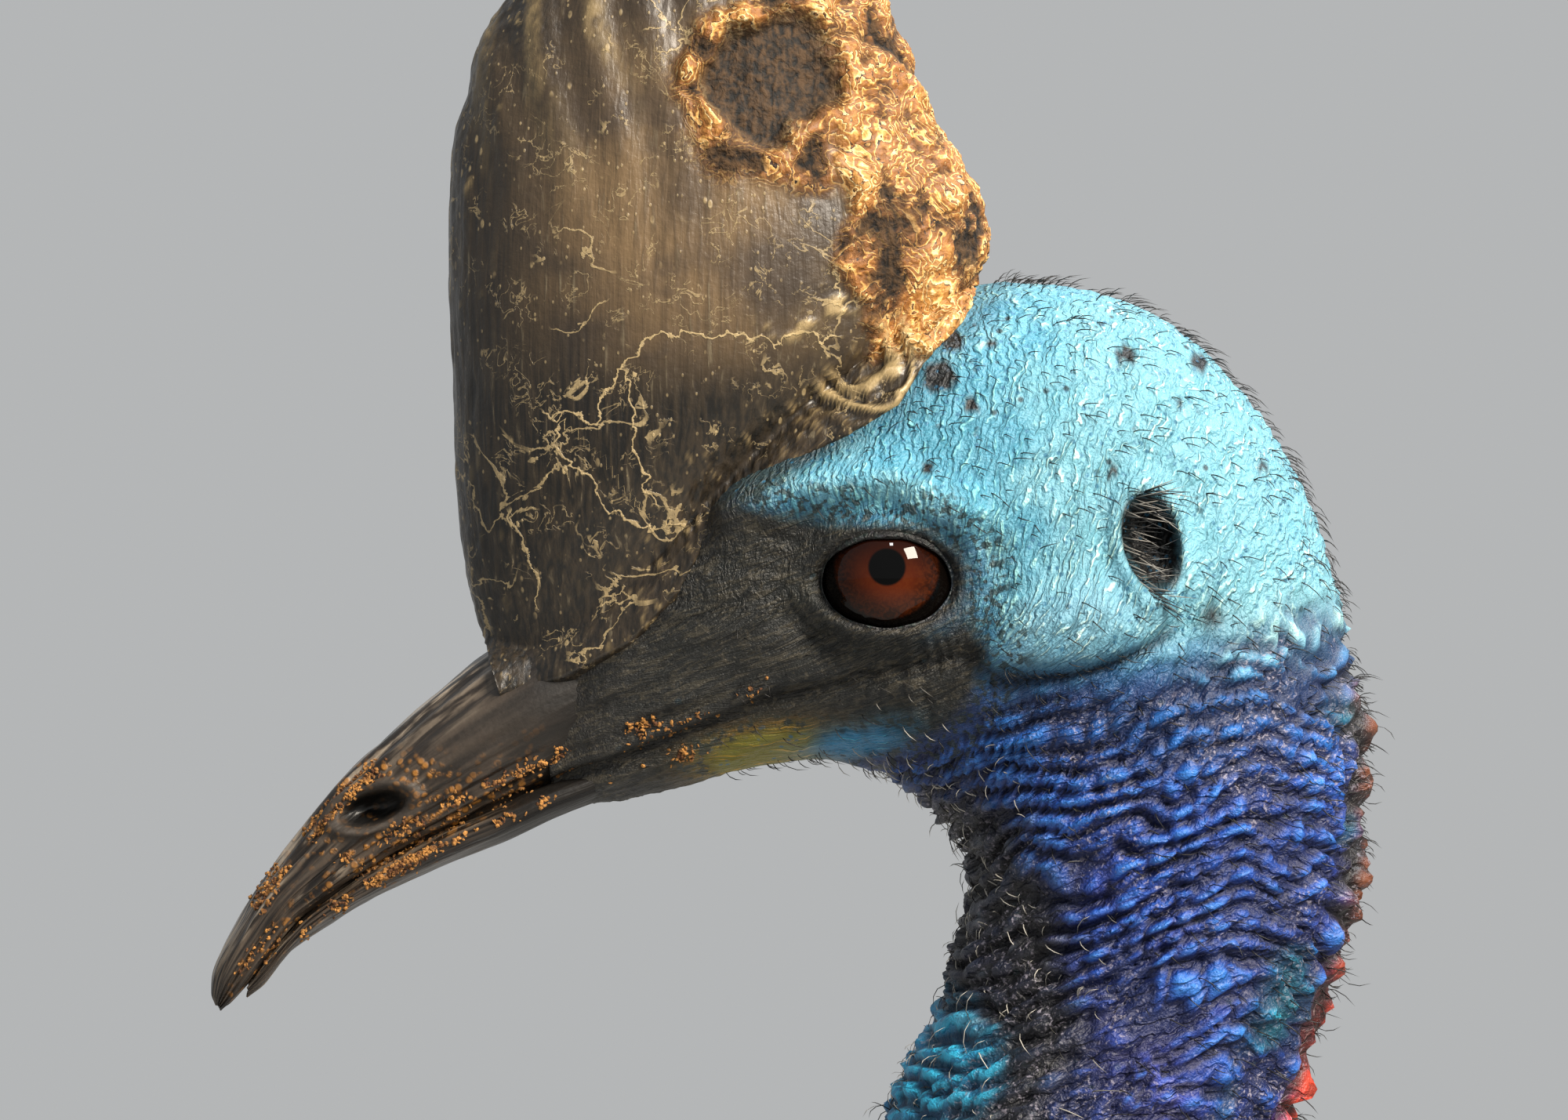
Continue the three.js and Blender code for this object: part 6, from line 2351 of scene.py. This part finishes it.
@dataclass
class Bristles:
    """Short black hairs on the bare head and neck, whitish on the throat, and the ears' lashes."""

    skin: np.ndarray
    finish: bpy.types.Material
    count: int = 5200
    lashes: int = 90

    def make(self) -> None:
        """All bristles in one piece."""
        draw = np.random.default_rng(97)
        rows = self.skin.shape[0] - 30
        grid = self.skin[:rows]
        normals = grid_normals(grid)
        areas = np.linalg.norm(np.gradient(grid, axis=0), axis=-1)
        areas = areas * np.linalg.norm(np.roll(grid, -1, 1) - grid, axis=-1)
        x, y, z = np.moveaxis(grid, -1, 0)
        bald = (oval(x, z, EYE) < 1.7) | (CASQUE_GROUND.depth(x, z) > -1.5) & (z > -20) & (x < 20)
        bald |= (x < -30) | ((oval(x, z, EAR) < 1.1) & (np.abs(y) > 8))
        edge = CASQUE_GROUND.depth(x, z) > -9
        weight = areas * (~bald) * (1 + 1.5 * edge * (x > 0)) * (1 - 0.5 * rise(-z, 10, 60))
        weight = weight * np.where(x < -5, 0.4, 1.0) * (1 + 2.5 * (np.abs(normals[..., 1]) < 0.35))
        chosen = draw.choice(weight.size, self.count, p=(weight / weight.sum()).ravel())
        root, normal = grid.reshape(-1, 3)[chosen], normals.reshape(-1, 3)[chosen]
        sweep = np.array([0.75, 0, -0.45]) + draw.normal(0, 0.22, (self.count, 3))
        sweep -= normal * np.sum(sweep * normal, -1, keepdims=True)
        length = (3.2 + 3.8 * draw.random(self.count) ** 2) * (0.75 + 0.6 * rise(-root[:, 2], 20, 120))
        t = np.linspace(0, 1, 4)[None, :, None]
        lean = normal[:, None] * (0.85 * t - 0.35 * t**2) + sweep[:, None] * (0.35 * t + 0.6 * t**2)
        paths = root[:, None] - 0.3 * normal[:, None] + lean * length[:, None, None]
        throat = 1 - rise(THROAT.gap(root[:, 0], root[:, 2])[0], 10, 22)
        shade = np.zeros((self.count, 3))
        shade[:, 0] = 0.3 * draw.random(self.count)
        shade[:, 2] = throat * (draw.random(self.count) < 0.6)
        columns = grid.shape[1]
        spots = unwrapped((chosen // columns) / rows, 2 * np.pi * (chosen % columns) / columns, 0.02, 0.95)
        outs = np.repeat(normal[:, None], 4, axis=1)
        lash_paths, lash_outs = self.lash_paths(draw)
        paths, outs = np.vstack([paths, lash_paths]), np.vstack([outs, lash_outs])
        spots = np.vstack([spots, np.full((len(lash_paths), 2), 0.98)])
        lash_shade = np.zeros((len(lash_paths), 3))
        lash_shade[:, 2] = 0.5 * (draw.random(len(lash_paths)) < 0.35)
        shade = np.vstack([shade, lash_shade])
        widths = np.interp(t[0, :, 0], (0, 0.7, 1), (0.26, 0.17, 0)) * np.ones((len(paths), 1))
        Strands(paths, outs, widths, 0.8 * widths, spots, shade).make("bristles", self.finish, "head")

    def lash_paths(self, draw: np.random.Generator) -> tuple[np.ndarray, np.ndarray]:
        """Hairs that lie across both ears from their front rims.

        Args:
            draw: random draws.

        Returns:
            Paths, and directions out of the surface.
        """
        skull = TRUNK.at(*np.meshgrid(np.linspace(2, 6, 60), np.linspace(0, np.pi, 60)))
        view = SideView(skull.reshape(-1, 3))
        paths, outs = [], []
        for side in SIDES.values():
            turn = draw.uniform(1.7, 4.6, self.lashes)
            x = EAR.x + 1.05 * EAR.long * np.cos(turn)
            z = EAR.z + 1.05 * EAR.tall * np.sin(turn)
            root = np.stack([x, side * (view.at(x, z) + 0.2), z], -1)
            reach = draw.uniform(5, 11, self.lashes)
            splay = side * draw.uniform(0.0, 0.35, self.lashes)
            aim = np.stack([0.9 + 0 * x, splay, draw.normal(-0.25, 0.3, self.lashes)], -1)
            t = np.linspace(0, 1, 4)[None, :, None]
            bow = np.array([0, side * 1.6, 0]) * (4 * t * (1 - t))
            paths.append(root[:, None] + aim[:, None] * reach[:, None, None] * t + bow)
            outs.append(np.broadcast_to([0.0, side, 0.0], (self.lashes, 4, 3)))
        return np.vstack(paths), np.vstack(outs)


@dataclass
class Wings:
    """Tiny wings that end in five bare quills each."""

    place: float = CUT["chest"] + 0.55
    angle: float = 1.42
    quills: int = 5
    radius: float = 3.2
    lift: float = 6

    def make(self) -> None:
        """Quills of both wings."""
        finish = KeratinFinish(0x4A4238, 0x0C0B0A).make("wing_quill")
        for name, side in SIDES.items():
            parts, grains = [], []
            for i in range(self.quills):
                reach = 1.35 + 0.16 * math.sin(2.1 * i)
                t = np.linspace(0, 1, 6)
                place = self.place + 0.05 + reach * t
                angle = self.angle + (i - (self.quills - 1) / 2) * (0.06 + 0.08 * t) + 0.3 * t**2
                points = TRUNK.at(place, side * angle, self.lift - 9 * (1 - t) ** 3)
                thin = self.radius * (1 - 0.78 * t)
                run = Run(np.column_stack([points, thin, thin]))
                places, angles = crossed(np.linspace(0, run.last, 46), ring(12))
                parts.append(closed_tube(limb_points(run, places, angles, 0.12 * np.cos(4 * angles))))
                grains.append(with_ends(rolled(5, angles, 0.8 * places + 9 * i)))
            piece = make_piece(f"wing_quills_{name}", *join_parts(parts))
            store(piece, "Grain", Store.VECTOR, np.vstack(grains))
            hand_over(piece, f"wing_{name}", f"wing_{name}", finish=finish)


@dataclass
class Claws:
    """Claws of the three toes of each foot."""

    legs: Legs
    rings: int = 44
    columns: int = 20

    def make(self) -> None:
        """All six claws, each its own piece."""
        finish = KeratinFinish().make("claw_horn")
        for name in SIDES:
            for toe, (_, length, claw, _) in self.legs.toes.items():
                run = self.legs.toe_run(name, toe, length - 12, length + claw, True)
                places, angles = crossed(np.linspace(0, run.last, self.rings), ring(self.columns))
                lift = 0.3 * Noise(91).layered(rolled(4, angles, 0.4 * places), 1.0, 3)
                grid = limb_points(run, places, angles, lift * rise(run.last - places, 0, 1))
                grid[..., 2] = np.maximum(grid[..., 2], SOLE)
                piece = make_piece(f"claw_{toe}_{name}_horn", *closed_tube(grid))
                store(piece, "Grain", Store.VECTOR, with_ends(rolled(4, angles, 1.2 * places)))
                hand_over(piece, f"claw_{toe}_{name}", f"claw_{toe}_{name}", finish=finish)


@dataclass
class Studio:
    """Camera, soft lights and the pale floor."""

    lens: float = 200
    sensor: float = 36
    frame_width: float = 274
    frame_middle: tuple[float, float] = (-18.5, 2.8)
    floor_half: float = 12_000
    background: int = 0xD9DBDC

    def make(self) -> None:
        """Everything around the bird."""
        self.camera()
        self.light("key", (1.15, -1.2, 1.25), 0.7, 112, 0xFFF4E4)
        self.light("sky", (0.9, 0.5, 1.5), 0.9, 30, 0xF2F7FF)
        self.light("catch", (0.02, -0.75, 1.1), 0.12, 3, 0xFFFFFF)
        world = bpy.data.worlds.new("pale_studio")
        world.use_nodes = True
        backdrop = world.node_tree.nodes["Background"]
        backdrop.inputs["Color"].default_value = tint(self.background)
        backdrop.inputs["Strength"].default_value = 0.66
        bpy.context.scene.world = world
        bpy.context.scene.view_settings.view_transform = "Standard"
        half = self.floor_half
        corners = [(x * half, y * half, FLOOR) for x, y in ((-1, -1), (1, -1), (1, 1), (-1, 1))]
        floor = make_piece("floor", np.array(corners), [np.array([[0, 1, 2, 3]])])
        floor.data.materials.append(FloorFinish().make())

    def camera(self) -> None:
        """Camera in the picture's place, which looks across the bird."""
        data = bpy.data.cameras.new("camera")
        data.lens, data.sensor_width = self.lens, self.sensor
        away = self.frame_width * self.lens / self.sensor
        data.clip_start, data.clip_end = 0.05, 100
        camera = bpy.data.objects.new("camera", data)
        camera.location = placed(np.array([self.frame_middle[0], -away, self.frame_middle[1]]))
        camera.rotation_euler = (math.pi / 2, 0, 0)
        bpy.context.scene.collection.objects.link(camera)
        bpy.context.scene.camera = camera

    def light(
        self, name: str, offset: tuple[float, float, float], size: float, power: float, colour: int
    ) -> None:
        """Soft square light aimed at the head.

        Args:
            name: its name.
            offset: metres from the eyes.
            size: side of the square, in metres.
            power: watts.
            colour: hex code.
        """
        data = bpy.data.lights.new(name, "AREA")
        data.size, data.energy, data.color = size, power, tint(colour)[:3]
        lamp = bpy.data.objects.new(name, data)
        lamp.location = Vector(ORIGIN) + Vector(offset)
        lamp.rotation_euler = (-Vector(offset)).to_track_quat("-Z", "Y").to_euler()
        lamp.visible_camera = False
        bpy.context.scene.collection.objects.link(lamp)


def main() -> None:
    """Builds the bird and the studio."""
    logging.basicConfig(level=logging.INFO, format="%(message)s")
    Studio().make()
    legs = Legs()
    casque = Casque()
    base = casque.base()
    grid = Skin(SideView(base[base[..., 1] > 0]), legs).make()
    casque.make(base)
    Eyes().make()
    Bill().make(grid)
    finish = PlumageFinish().make()
    Plumage(legs, finish).make()
    Bristles(grid, finish).make()
    Wings().make()
    Claws(legs).make()


if __name__ == "__main__":
    main()
